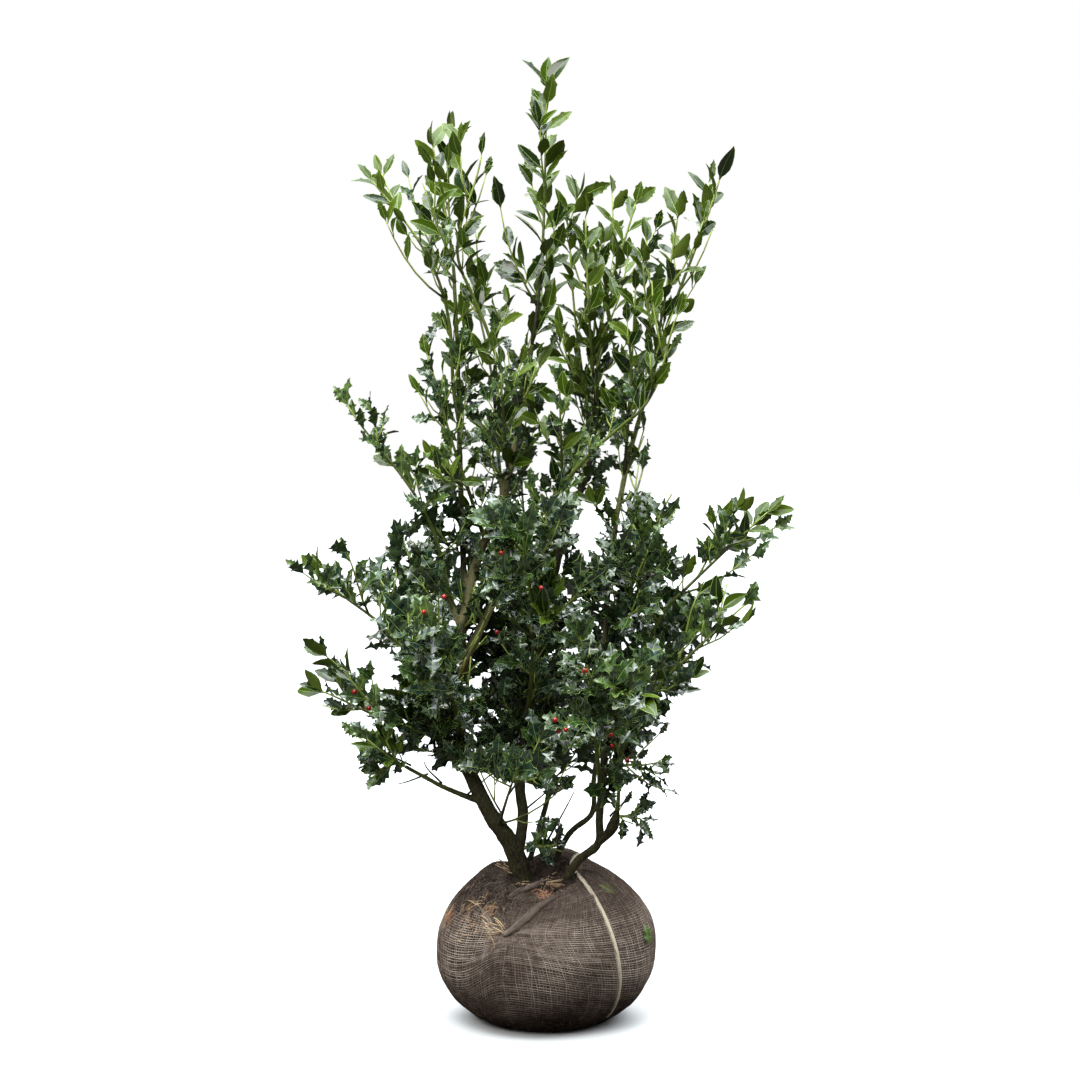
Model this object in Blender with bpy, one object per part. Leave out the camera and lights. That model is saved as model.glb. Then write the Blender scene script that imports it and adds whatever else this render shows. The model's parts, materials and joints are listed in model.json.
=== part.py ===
# Holly shrub with several stems, standing on its burlap-wrapped root ball.
# Metres, +Z up. +X is the right of the front view and -Y is towards the viewer.
# The origin is the centre of the ball's flat underside.

import math
import random

import bmesh
import bpy
from mathutils import Matrix, Vector
from mathutils.bvhtree import BVHTree

# Space left between neighbouring pieces, and between a leaf and what it must not touch
GAP = 0.0003
LEAF_CLEAR = 1.04
GOLDEN_TURN = math.radians(137.5)
UP = Vector((0, 0, 1))

# Root ball: half width, half depth, height of its widest line, and its rise and fall from there
BALL_HALF_WIDTH = 0.193
BALL_HALF_DEPTH = 0.186
BALL_WIDEST_Z = 0.128
BALL_RISE = 0.142
BALL_FALL = 0.146
BALL_ROUNDNESS = 2.14
BALL_RINGS = 16
BALL_SIDES = 32
# The lowest and highest ring, in degrees above the widest line
BALL_LIFTS = (-80, 83)
# How much the girth swells in three and in five places, as shares of the width
BALL_WAVES = (0.012, 0.008)
# Swellings and hollows on the ball's crown: x, y, how far, how wide
BALL_LUMPS = {
    "hump_behind_stems": (0.030, 0.075, 0.030, 0.055),
    "hollow_at_stems": (-0.020, -0.020, -0.028, 0.050),
    "left_crest": (-0.085, 0.000, 0.022, 0.050),
    "right_shoulder": (0.110, 0.010, 0.012, 0.060),
}
# The rolled edge of cloth on the ball's front: x and z of its two ends, radius, how far it
# sags between them and how deep it is sunk
FOLD_LOW = (-0.064, 0.186)
FOLD_HIGH = (0.016, 0.232)
FOLD_RADIUS = 0.0085
FOLD_SAG = 0.006
FOLD_SUNK = 0.001
FOLD_RINGS = 9
FOLD_SIDES = 6

# Flat tie band over the ball: where it crosses the crown, how far it bulges to the right on
# its way down, and how far below the level it ends, in degrees
BAND_WIDTH = 0.0095
BAND_THICK = 0.0024
BAND_SUNK = 0.006
BAND_TOP_X = 0.047
BAND_BULGE = 0.080
BAND_SLOW_START = 1.5
BAND_LOW_ANGLE = 52
BAND_STEPS = 44

# Stems: the places that each passes, its radius at foot and tip, and its number of sides
STEMS = {
    "trunk": {
        "through": [(-0.030, -0.015, 0.205), (-0.054, -0.018, 0.300), (-0.104, -0.022, 0.381),
                    (-0.146, -0.018, 0.486), (-0.154, -0.010, 0.626), (-0.125, 0.000, 0.793),
                    (-0.079, 0.006, 0.907), (-0.052, 0.006, 1.020), (-0.023, 0.000, 1.190)],
        "radii": (0.0165, 0.0042), "sides": 9, "rings": 19, "flare": 0.012,
    },
    "stem_middle": {
        "through": [(-0.049, -0.017, 0.285), (-0.039, 0.006, 0.360), (-0.044, 0.018, 0.430),
                    (-0.018, 0.035, 0.600), (0.030, 0.045, 0.840), (0.082, 0.042, 1.000),
                    (0.096, 0.035, 1.200)],
        "radii": (0.0108, 0.0040), "sides": 8, "rings": 16, "parent": "trunk",
    },
    "stem_right": {
        "through": [(0.014, -0.046, 0.205), (0.052, -0.056, 0.284), (0.092, -0.062, 0.322),
                    (0.095, -0.058, 0.370), (0.104, -0.050, 0.500), (0.108, -0.040, 0.750),
                    (0.140, -0.036, 0.970), (0.204, -0.030, 1.196)],
        "radii": (0.0082, 0.0034), "sides": 7, "rings": 18,
    },
    "stem_right_back": {
        "through": [(0.000, 0.018, 0.230), (0.040, 0.030, 0.318), (0.084, 0.040, 0.358),
                    (0.088, 0.055, 0.420), (0.105, 0.085, 0.550), (0.135, 0.110, 0.720),
                    (0.150, 0.120, 0.860)],
        "radii": (0.0058, 0.0028), "sides": 6, "rings": 13,
    },
    "stem_back": {
        "through": [(-0.040, 0.040, 0.230), (-0.010, 0.055, 0.330), (0.012, 0.085, 0.420),
                    (0.005, 0.125, 0.540), (-0.020, 0.150, 0.690), (-0.035, 0.150, 0.850)],
        "radii": (0.0056, 0.0028), "sides": 6, "rings": 12,
    },
}

# Boughs: parent, height where each leaves it, its tip, how steeply it leaves and ends, radii
BOUGHS = {
    "bough_left_low": ("trunk", 0.389, (-0.246, -0.035, 0.454), 15, 30, (0.0055, 0.0032)),
    "bough_left_mid": ("trunk", 0.470, (-0.275, 0.030, 0.525), 30, 12, (0.0055, 0.0032)),
    "bough_left_high": ("trunk", 0.560, (-0.285, -0.030, 0.700), 40, 42, (0.0055, 0.0032)),
    "bough_mid_left": ("trunk", 0.690, (-0.205, -0.045, 0.890), 60, 60, (0.0050, 0.0030)),
    "bough_mid_left_inner": ("trunk", 0.850, (-0.150, -0.025, 0.985), 60, 66, (0.0042, 0.0028)),
    "bough_upper_left": ("trunk", 0.730, (-0.160, 0.055, 1.300), 78, 80, (0.0062, 0.0034)),
    "bough_upper_left_outer": ("bough_upper_left", 1.060, (-0.176, -0.010, 1.270), 62, 62,
                               (0.0038, 0.0028)),
    "bough_leader_left": ("trunk", 1.070, (-0.142, -0.030, 1.310), 62, 62, (0.0038, 0.0028)),
    "bough_right_high": ("stem_right", 0.500, (0.235, -0.050, 0.757), 42, 40, (0.0052, 0.0030)),
    "bough_right_mid": ("stem_right", 0.440, (0.225, -0.115, 0.635), 45, 40, (0.0046, 0.0030)),
    "bough_right_foot": ("stem_right", 0.326, (0.128, -0.074, 0.450), 30, 88, (0.0048, 0.0028)),
    "bough_front_long": ("trunk", 0.610, (0.147, -0.105, 1.061), 62, 35, (0.0064, 0.0028)),
    "bough_front_left": ("trunk", 0.500, (-0.160, -0.130, 0.600), 30, 38, (0.0046, 0.0030)),
    "bough_front_mid": ("stem_middle", 0.520, (-0.020, -0.120, 0.680), 30, 46, (0.0046, 0.0030)),
    "bough_front_right": ("stem_right", 0.400, (0.085, -0.170, 0.520), 35, 38, (0.0046, 0.0030)),
    "bough_back_left": ("trunk", 0.520, (-0.185, 0.130, 0.640), 35, 38, (0.0046, 0.0030)),
    "bough_back_right": ("stem_right_back", 0.500, (0.175, 0.165, 0.590), 35, 32,
                         (0.0042, 0.0028)),
    "bough_upper_back": ("stem_middle", 0.940, (0.080, 0.130, 1.100), 55, 72, (0.0040, 0.0028)),
    "bough_upper_back_left": ("trunk", 0.920, (-0.090, 0.110, 1.080), 55, 74, (0.0040, 0.0028)),
}
BOUGH_SIDES = 6
BOUGH_RINGS = 8
# How far a limb keeps its first and last direction, as a share of its length
BOW_REACH = 0.36
# How a limb's radius runs from foot to tip, and how fast a flare dies away from ring to ring
TAPER_POWER = 0.8
FLARE_FALL = 0.9

# Masses of foliage: the limb that each grows on from (with the height and the steepness
# where it leaves that limb's side, or None at its tip), its own tip, how steeply it ends,
# how far its twigs spread, and its side twigs
MASSES = {
    "shoots_leader": ("trunk", None, (0.005, 0.000, 1.688), 88, 0.075, 6),
    "shoots_upper_left_inner": ("bough_leader_left", None, (-0.104, -0.045, 1.560), 82, 0.070, 4),
    "shoots_upper_left": ("bough_upper_left", None, (-0.206, 0.040, 1.590), 80, 0.080, 4),
    "shoots_upper_left_outer": ("bough_upper_left_outer", None, (-0.330, -0.020, 1.508),
                                50, 0.075, 4),
    "shoots_upper_middle": ("stem_middle", None, (0.170, 0.030, 1.484), 76, 0.080, 4),
    "shoots_upper_front": ("stem_middle", (1.080, 62), (0.068, -0.070, 1.450), 84, 0.080, 4),
    "shoots_upper_right_inner": ("stem_right", (1.090, 75), (0.232, -0.075, 1.455), 80, 0.070, 4),
    "shoots_upper_right_outer": ("stem_right", None, (0.316, -0.020, 1.523), 74, 0.075, 4),
    "shoots_upper_back": ("bough_upper_back", None, (0.105, 0.220, 1.430), 78, 0.085, 4),
    "shoots_upper_back_left": ("bough_upper_back_left", None, (-0.145, 0.205, 1.410), 78, 0.085, 4),
    "foliage_front_right_high": ("bough_front_long", None, (0.240, -0.135, 1.280), 68, 0.085, 3),
    "foliage_mid_left_outer": ("bough_mid_left", None, (-0.368, -0.050, 1.125), 58, 0.075, 3),
    "foliage_mid_left_inner": ("bough_mid_left_inner", None, (-0.218, -0.040, 1.215), 72, 0.090, 4),
    "foliage_mid_centre": ("trunk", (0.960, 45), (-0.080, -0.160, 1.180), 70, 0.100, 4),
    "foliage_mid_right": ("stem_right", (0.770, 12), (0.236, 0.030, 0.965), 52, 0.090, 4),
    "foliage_mid_right_back": ("stem_right_back", None, (0.192, 0.232, 1.035), 66, 0.105, 4),
    "foliage_mid_back": ("stem_back", None, (-0.060, 0.260, 1.110), 62, 0.120, 5),
    "foliage_mid_front": ("bough_front_mid", None, (-0.040, -0.320, 0.910), 52, 0.120, 5),
    "foliage_left_high": ("bough_left_high", None, (-0.424, -0.030, 0.825), 50, 0.110, 5),
    "foliage_left_mid": ("bough_left_mid", None, (-0.442, 0.040, 0.593), 20, 0.115, 5),
    "foliage_left_low": ("bough_left_low", None, (-0.345, -0.050, 0.425), -22, 0.090, 4),
    "foliage_right_high": ("bough_right_high", None, (0.420, -0.050, 0.930), 42, 0.105, 5),
    "foliage_right_mid": ("bough_right_mid", None, (0.374, -0.130, 0.775), 42, 0.100, 4),
    "foliage_right_low": ("stem_right", (0.560, 22), (0.292, 0.020, 0.620), 20, 0.090, 4),
    "foliage_right_foot": ("bough_right_foot", None, (0.226, -0.085, 0.415), -40, 0.095, 4),
    "foliage_front_left": ("bough_front_left", None, (-0.190, -0.345, 0.745), 42, 0.125, 5),
    "foliage_front_right": ("bough_front_right", None, (0.120, -0.350, 0.660), 42, 0.125, 5),
    "foliage_front_low": ("trunk", (0.345, 30), (-0.050, -0.325, 0.505), 25, 0.110, 5),
    "foliage_back_left": ("bough_back_left", None, (-0.275, 0.325, 0.780), 42, 0.130, 5),
    "foliage_back_right": ("bough_back_right", None, (0.290, 0.315, 0.720), 40, 0.130, 5),
    "foliage_back_low": ("stem_back", (0.400, 30), (-0.050, 0.345, 0.530), 30, 0.125, 5),
}
# A mass's own stem and its side twigs, all with three sides. Side twigs stand off the stem
# between two shares of its length and turn up towards their tips; each is tried at full
# length and then shorter, and is shorter towards the stem's tip.
TWIG_SIDES = 3
STEM_RADII = (0.0044, 0.0024)
STEM_RINGS = 5
STRAIGHT_FOOT = 0.012
TWIG_RADII = (0.0019, 0.0017)
TWIG_ANGLE = 52
TWIG_TURN_UP = 0.35
TWIG_SHARES = (0.16, 0.90)
TWIG_TRIES = (1.0, 0.7, 0.45)
TWIG_SHORTENING = 0.45
TWIG_VARIES = (0.85, 1.15)
# Leaves: length, width and thickness, and how far the root is set back past the twig's middle
LEAF_LENGTH = 0.080
LEAF_WIDTH = 0.046
LEAF_THICK = 0.0016
LEAF_SINK = 0.0002
LEAF_WIDEST = 0.42
LEAF_FOLD = 0.16
LEAF_SIZES = (0.84, 1.06)
LEAF_ANGLE = 46
ANGLE_VARIES = 8
TIP_LEAF_ANGLE = 10
TIP_LEAF_SIZE = 0.97
# How much a leaf's upper face turns up, along its twig and away from the crown's middle
LEAF_FACING = (0.6, 0.3, 0.6)
# How far a leaf turns aside from its place round the twig when that is taken, in degrees
LEAF_TRIES = (0, 55, -55, 110, 180)
# Leaves on each side twig and on the stem, and the shares of its length that they take
TWIG_LEAVES = 2
STEM_LEAVES = 3
TWIG_LEAVES_FROM = 0.42
STEM_LEAVES_FROM = 0.34
LEAVES_TO = 0.96
# The space of a mass: how far its leaves reach past its twigs and past its tip, its share of
# the way to another mass's stem, and how near its root a leaf may touch its own twig
SPREAD_OF_LEAVES = 0.045
PAST_TIP = 1.03
SPACE_SHARE = 0.65
SPACE_MARGIN = 0.002
ROOT_REACH = 0.006
ROOT_PULL = 0.4
# Red berries, in the masses that show them: places on their own twigs
BERRY_RADIUS = 0.0055
BERRY_TWIG = 2
BERRY_SHARE = 0.6
BERRY_MASSES = ("foliage_mid_front", "foliage_front_right", "foliage_right_mid",
                "foliage_back_right")


def clear_scene():
    for old in list(bpy.data.objects):
        bpy.data.objects.remove(old)


def material(name, colour, roughness):
    finish = bpy.data.materials.new(name)
    finish.use_nodes = True
    shader = finish.node_tree.nodes["Principled BSDF"]
    shader.inputs["Base Color"].default_value = (*colour, 1.0)
    shader.inputs["Roughness"].default_value = roughness
    shader.inputs["Metallic"].default_value = 0.0
    return finish


def new_object(name, points, faces, finish=None, collection=None):
    mesh = bpy.data.meshes.new(name)
    mesh.from_pydata([tuple(p) for p in points], [], faces)
    mesh.validate()
    made = bpy.data.objects.new(name, mesh)
    if finish:
        mesh.materials.append(finish)
    (collection or bpy.context.scene.collection).objects.link(made)
    return made


def apply_modifiers(piece):
    bpy.context.view_layer.update()
    evaluated = piece.evaluated_get(bpy.context.evaluated_depsgraph_get())
    finished = bpy.data.meshes.new_from_object(evaluated)
    old = piece.data
    piece.modifiers.clear()
    piece.data = finished
    finished.name = piece.name
    bpy.data.meshes.remove(old)


def boolean(piece, cutter, operation):
    step = piece.modifiers.new(operation.lower(), "BOOLEAN")
    step.operation = operation
    step.solver = "EXACT"
    if isinstance(cutter, bpy.types.Collection):
        step.operand_type = "COLLECTION"
        step.collection = cutter
    else:
        step.object = cutter
    apply_modifiers(piece)


def keep_largest(piece):
    # A scrap that the joining leaves loose is dropped
    shape = bmesh.new()
    shape.from_mesh(piece.data)
    left = set(shape.verts)
    islands = []
    while left:
        seen = {left.pop()}
        front = list(seen)
        while front:
            near = [e.other_vert(front[0]) for e in front[0].link_edges]
            front = front[1:] + [v for v in near if v not in seen]
            seen.update(near)
        left -= seen
        islands.append(seen)
    islands.sort(key=len)
    loose = [v for island in islands[:-1] for v in island]
    bmesh.ops.delete(shape, geom=loose, context="VERTS")
    shape.to_mesh(piece.data)
    shape.free()


def smooth_shading(piece, angle=40):
    piece.data.shade_smooth()
    piece.data.set_sharp_from_angle(angle=math.radians(angle))


def mesh_tree(pieces):
    points = []
    faces = []
    for piece in pieces:
        start = len(points)
        points += [v.co.copy() for v in piece.data.vertices]
        faces += [[start + i for i in p.vertices] for p in piece.data.polygons]
    return BVHTree.FromPolygons(points, faces)


def smooth_path(places, count):
    # An even run of points on a smooth curve through the given places
    knots = [Vector(p) for p in places]
    knots = [2 * knots[0] - knots[1]] + knots + [2 * knots[-1] - knots[-2]]
    fine = []
    for a, b, c, d in zip(knots, knots[1:], knots[2:], knots[3:]):
        for step in range(12):
            t = step / 12
            fine.append(0.5 * (2 * b + (c - a) * t + (2 * a - 5 * b + 4 * c - d) * t * t
                               + (3 * b - a - 3 * c + d) * t ** 3))
    fine.append(knots[-2])
    return even_run(fine, count)


def even_run(fine, count):
    lengths = [0.0]
    for a, b in zip(fine, fine[1:]):
        lengths.append(lengths[-1] + (b - a).length)
    run = []
    k = 0
    for i in range(count):
        want = lengths[-1] * i / (count - 1)
        while k < len(fine) - 2 and lengths[k + 1] < want:
            k += 1
        part = (want - lengths[k]) / max(lengths[k + 1] - lengths[k], 1e-9)
        run.append(fine[k].lerp(fine[k + 1], min(part, 1.0)))
    return run


def rising(foot, tip, angle):
    # The way from foot to tip, turned to the given angle above the level
    level = Vector((tip.x - foot.x, tip.y - foot.y, 0)).normalized()
    return level * math.cos(math.radians(angle)) + UP * math.sin(math.radians(angle))


def bow(foot, tip, first, last, count):
    # A limb that leaves its foot and ends at its tip in the given directions
    reach = (tip - foot).length * BOW_REACH
    second = foot + first * reach
    third = tip - last * reach
    fine = []
    for i in range(25):
        t = i / 24
        s = 1 - t
        fine.append(s ** 3 * foot + 3 * s * s * t * second + 3 * s * t * t * third + t ** 3 * tip)
    return even_run(fine, count)


def point_at_height(path, height):
    for a, b in zip(path, path[1:]):
        if a.z <= height <= b.z:
            return a.lerp(b, (height - a.z) / (b.z - a.z))
    return path[-1].copy()


def tube_mesh(path, radii, sides):
    # Rings carried along the path without twisting, closed at both ends
    points = []
    side = None
    for i, place in enumerate(path):
        ahead = (path[min(i + 1, len(path) - 1)] - path[max(i - 1, 0)]).normalized()
        if side is None:
            side = ahead.orthogonal()
        side = (side - ahead * side.dot(ahead)).normalized()
        across = ahead.cross(side)
        for k in range(sides):
            turn = math.tau * k / sides
            points.append(place + (side * math.cos(turn) + across * math.sin(turn)) * radii[i])
    faces = [list(range(sides))[::-1]]
    for i in range(len(path) - 1):
        low = i * sides
        faces += [[low + k, low + (k + 1) % sides, low + sides + (k + 1) % sides, low + sides + k]
                  for k in range(sides)]
    top = (len(path) - 1) * sides
    faces.append(list(range(top, top + sides)))
    return points, faces


def tapered(count, radii, flare=0.0):
    # Radii from foot to tip, with the foot's flare dying away in the first rings
    foot, tip = radii
    return [foot + (tip - foot) * (i / (count - 1)) ** TAPER_POWER
            + flare * math.exp(-i * FLARE_FALL) for i in range(count)]


def ball_point(turn, lift, swell):
    # A point on the ball's skin: turn goes round it, lift from a quarter turn below the
    # widest line to a quarter turn above it
    power = 2 / BALL_ROUNDNESS
    flat = abs(math.cos(lift)) ** power
    tall = math.copysign(abs(math.sin(lift)) ** power, lift)
    x = (BALL_HALF_WIDTH + swell) * flat * math.cos(turn)
    y = (BALL_HALF_DEPTH + swell) * flat * math.sin(turn)
    z = BALL_WIDEST_Z + ((BALL_RISE if tall > 0 else BALL_FALL) + swell) * tall
    wave = (1 + BALL_WAVES[0] * math.sin(3 * turn + 1.1)
            + BALL_WAVES[1] * math.sin(5 * turn + 4 * lift))
    x *= wave
    y *= wave
    if lift > 0:
        for where_x, where_y, height, width in BALL_LUMPS.values():
            away = ((x - where_x) ** 2 + (y - where_y) ** 2) / width ** 2
            z += height * math.exp(-away) * min(1.0, lift / 0.6)
    return Vector((x, y, z))


def ball_mesh(name, swell, finish=None):
    points = []
    faces = []
    low_lift, high_lift = BALL_LIFTS
    for ring in range(BALL_RINGS):
        lift = math.radians(low_lift + (high_lift - low_lift) * ring / (BALL_RINGS - 1))
        points += [ball_point(math.tau * k / BALL_SIDES, lift, swell) for k in range(BALL_SIDES)]
    points.append(ball_point(0, math.pi / 2, swell))
    for low in range(0, (BALL_RINGS - 1) * BALL_SIDES, BALL_SIDES):
        for k in range(BALL_SIDES):
            n = (k + 1) % BALL_SIDES
            faces.append([low + k, low + n, low + BALL_SIDES + n])
            faces.append([low + k, low + BALL_SIDES + n, low + BALL_SIDES + k])
    crown = (BALL_RINGS - 1) * BALL_SIDES
    faces += [[crown + k, crown + (k + 1) % BALL_SIDES, len(points) - 1]
              for k in range(BALL_SIDES)]
    faces.append(list(range(BALL_SIDES))[::-1])
    ball = new_object(name, points, faces, finish)
    shape = bmesh.new()
    shape.from_mesh(ball.data)
    everything = shape.verts[:] + shape.edges[:] + shape.faces[:]
    cut = bmesh.ops.bisect_plane(shape, geom=everything, plane_co=(0, 0, 0), plane_no=(0, 0, -1),
                                 clear_outer=True)
    rim = [e for e in cut["geom_cut"] if isinstance(e, bmesh.types.BMEdge)]
    bmesh.ops.contextual_create(shape, geom=rim)
    bmesh.ops.recalc_face_normals(shape, faces=shape.faces)
    shape.to_mesh(ball.data)
    shape.free()
    return ball


def make_root_ball(finish):
    ball = ball_mesh("root_ball", 0.0, finish)
    skin = mesh_tree([ball])
    # The rolled edge of cloth lies along the front, half sunk
    roll = []
    for i in range(FOLD_RINGS):
        t = i / (FOLD_RINGS - 1)
        x = FOLD_LOW[0] + (FOLD_HIGH[0] - FOLD_LOW[0]) * t
        z = FOLD_LOW[1] + (FOLD_HIGH[1] - FOLD_LOW[1]) * t - FOLD_SAG * math.sin(math.pi * t)
        place, out = skin.ray_cast(Vector((x, -1, z)), Vector((0, 1, 0)))[:2]
        roll.append(place - out * FOLD_SUNK)
    girth = [FOLD_RADIUS * (0.45 + 0.55 * math.sin(math.pi * (i + 0.6) / FOLD_RINGS))
             for i in range(FOLD_RINGS)]
    cloth = new_object("cloth_roll", *tube_mesh(roll, girth, FOLD_SIDES))
    boolean(ball, cloth, "UNION")
    bpy.data.objects.remove(cloth)
    smooth_shading(ball)
    return ball


def make_tie_band(ball, ball_space, finish):
    # A flat strip over the crown, down the front and down the back, cut to the ball's skin
    skin = mesh_tree([ball])
    places = []
    for i in range(BAND_STEPS):
        share = 2 * i / (BAND_STEPS - 1) - 1
        turn = math.radians(90 + share * (90 + BAND_LOW_ANGLE))
        x = BAND_TOP_X + BAND_BULGE * math.sin(0.70 * math.pi * abs(share)) ** BAND_SLOW_START
        start = Vector((x, 0, BALL_WIDEST_Z))
        out = Vector((0, math.cos(turn), math.sin(turn)))
        places.append(skin.ray_cast(start, out)[0])
    points = []
    for i, place in enumerate(places):
        along = (places[min(i + 1, BAND_STEPS - 1)] - places[max(i - 1, 0)]).normalized()
        out = skin.find_nearest(place)[1]
        if out.dot(place - Vector((place.x, 0, BALL_WIDEST_Z))) < 0:
            out = -out
        across = along.cross(out).normalized() * (BAND_WIDTH / 2)
        raised = out * (BAND_THICK + GAP)
        sunk = out * -BAND_SUNK
        points += [place + across + sunk, place - across + sunk,
                   place - across + raised, place + across + raised]
    faces = [[0, 1, 2, 3], [len(points) - 1 - k for k in range(4)]]
    for i in range(BAND_STEPS - 1):
        faces += [[4 * i + k, 4 * i + 4 + k, 4 * i + 4 + (k + 1) % 4, 4 * i + (k + 1) % 4]
                  for k in range(4)]
    band = new_object("tie_band", points, faces, finish)
    shape = bmesh.new()
    shape.from_mesh(band.data)
    bmesh.ops.recalc_face_normals(shape, faces=shape.faces)
    shape.to_mesh(band.data)
    shape.free()
    boolean(band, ball_space, "DIFFERENCE")
    keep_largest(band)
    return band


def make_limb(name, path, radii, sides, finish, cutters):
    limb = new_object(name, *tube_mesh(path, radii, sides), finish)
    for cutter in cutters:
        boolean(limb, cutter, "DIFFERENCE")
    keep_largest(limb)
    smooth_shading(limb, 55)
    return limb


def swollen(limb):
    # The space that a limb's neighbours keep clear of
    path, radii, sides = limb
    fat = [r + GAP / math.cos(math.pi / sides) for r in radii]
    longer = [path[0] - (path[1] - path[0]).normalized() * GAP] + path[1:-1]
    longer.append(path[-1] + (path[-1] - path[-2]).normalized() * GAP)
    return new_object("swollen_limb", *tube_mesh(longer, fat, sides))


def leaf_points(root, ahead, face, size):
    # Six faces: root, widest point on each side, tip, and the midrib's crest above them
    across = ahead.cross(face).normalized()
    face = across.cross(ahead).normalized()
    length = LEAF_LENGTH * size
    half = LEAF_WIDTH * size / 2
    centre = root + ahead * (length * LEAF_WIDEST)
    lift = face * (LEAF_FOLD * half)
    return [root, centre + across * half + lift, root + ahead * length,
            centre - across * half + lift, centre + face * LEAF_THICK]


LEAF_FACES = [[0, 4, 1], [1, 4, 2], [2, 4, 3], [3, 4, 0], [0, 1, 2], [0, 2, 3]]


def along(path, share):
    # The place at a share of a path's length, and the way the path runs there
    spot = share * (len(path) - 1)
    k = min(int(spot), len(path) - 2)
    return path[k].lerp(path[k + 1], spot - k), (path[k + 1] - path[k]).normalized()


def segment_distance(point, path):
    best = 1e9
    for a, b in zip(path, path[1:]):
        line = b - a
        share = max(0.0, min(1.0, (point - a).dot(line) / line.length_squared))
        best = min(best, (point - a - line * share).length)
    return best


class Space:
    # What a mass may fill: nearer its own stem than any other mass's, clear of every limb,
    # of the other masses and of what has already grown on its own twigs
    def __init__(self, own, spread, others, trees):
        self.own = own
        self.others = others
        self.trees = trees
        self.grown = []
        self.reach = spread + SPREAD_OF_LEAVES
        self.ahead = (own[-1] - own[-2]).normalized()
        self.limit = own[-1].dot(self.ahead) + LEAF_LENGTH * PAST_TIP

    def takes(self, root, points, faces):
        # The root may touch its own twig, so near pieces are tested without that stretch
        for point in points:
            away = segment_distance(point, self.own)
            if away > self.reach or point.dot(self.ahead) > self.limit:
                return False
            home = away * SPACE_SHARE + SPACE_MARGIN
            if any(segment_distance(point, other) < home for other in self.others):
                return False
        middle = sum(points, Vector()) / len(points)
        wide = [middle + (p - middle) * LEAF_CLEAR for p in points]
        free = [p.lerp(middle, ROOT_PULL) if (p - root).length < ROOT_REACH else p
                for p in wide]
        probe = BVHTree.FromPolygons(wide, faces)
        if any(tree.overlap(probe) for tree in self.trees):
            return False
        probe = BVHTree.FromPolygons(free, faces)
        if any(tree.overlap(probe) for tree in self.grown):
            return False
        self.grown.append(probe)
        return True


def grow_leaf(space, collection, place, ahead, turn, dice, angle, size):
    # A leaf stands off its twig, its upper face turned up and away from the crown's middle.
    # It turns aside where something is in its way.
    tilt = math.radians(angle + dice.uniform(-ANGLE_VARIES, ANGLE_VARIES))
    up, along_twig, away = LEAF_FACING
    for aside in LEAF_TRIES:
        side = ahead.orthogonal()
        side.rotate(Matrix.Rotation(turn + math.radians(aside), 3, ahead))
        out = (ahead * math.cos(tilt) + side * math.sin(tilt)).normalized()
        face = (UP * up + ahead * along_twig
                + Vector((place.x, place.y, 0)).normalized() * away)
        points = leaf_points(place - out * LEAF_SINK, out, face.normalized(), size)
        if space.takes(points[0], points, LEAF_FACES):
            new_object("leaf", points, LEAF_FACES, None, collection)
            return 1
    return 0


def leaf_at_tip(space, collection, path, dice, turn):
    place, ahead = along(path, 1.0)
    return grow_leaf(space, collection, place, ahead, turn, dice, TIP_LEAF_ANGLE, TIP_LEAF_SIZE)


def leaves_along(space, collection, path, first, count, dice, turn):
    # Leaves set round a twig by the golden angle
    grown = 0
    for i in range(count):
        place, ahead = along(path, first + (LEAVES_TO - first) * i / count)
        turn += GOLDEN_TURN
        size = dice.uniform(*LEAF_SIZES)
        grown += grow_leaf(space, collection, place, ahead, turn, dice, LEAF_ANGLE, size)
    return grown


def grow_berry(collection, place, out):
    centre = place + out * (BERRY_RADIUS * 1.1)
    shape = bmesh.new()
    bmesh.ops.create_icosphere(shape, subdivisions=1, radius=BERRY_RADIUS,
                               matrix=Matrix.Translation(centre))
    mesh = bpy.data.meshes.new("berry")
    shape.to_mesh(mesh)
    shape.free()
    collection.objects.link(bpy.data.objects.new("berry", mesh))


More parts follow.
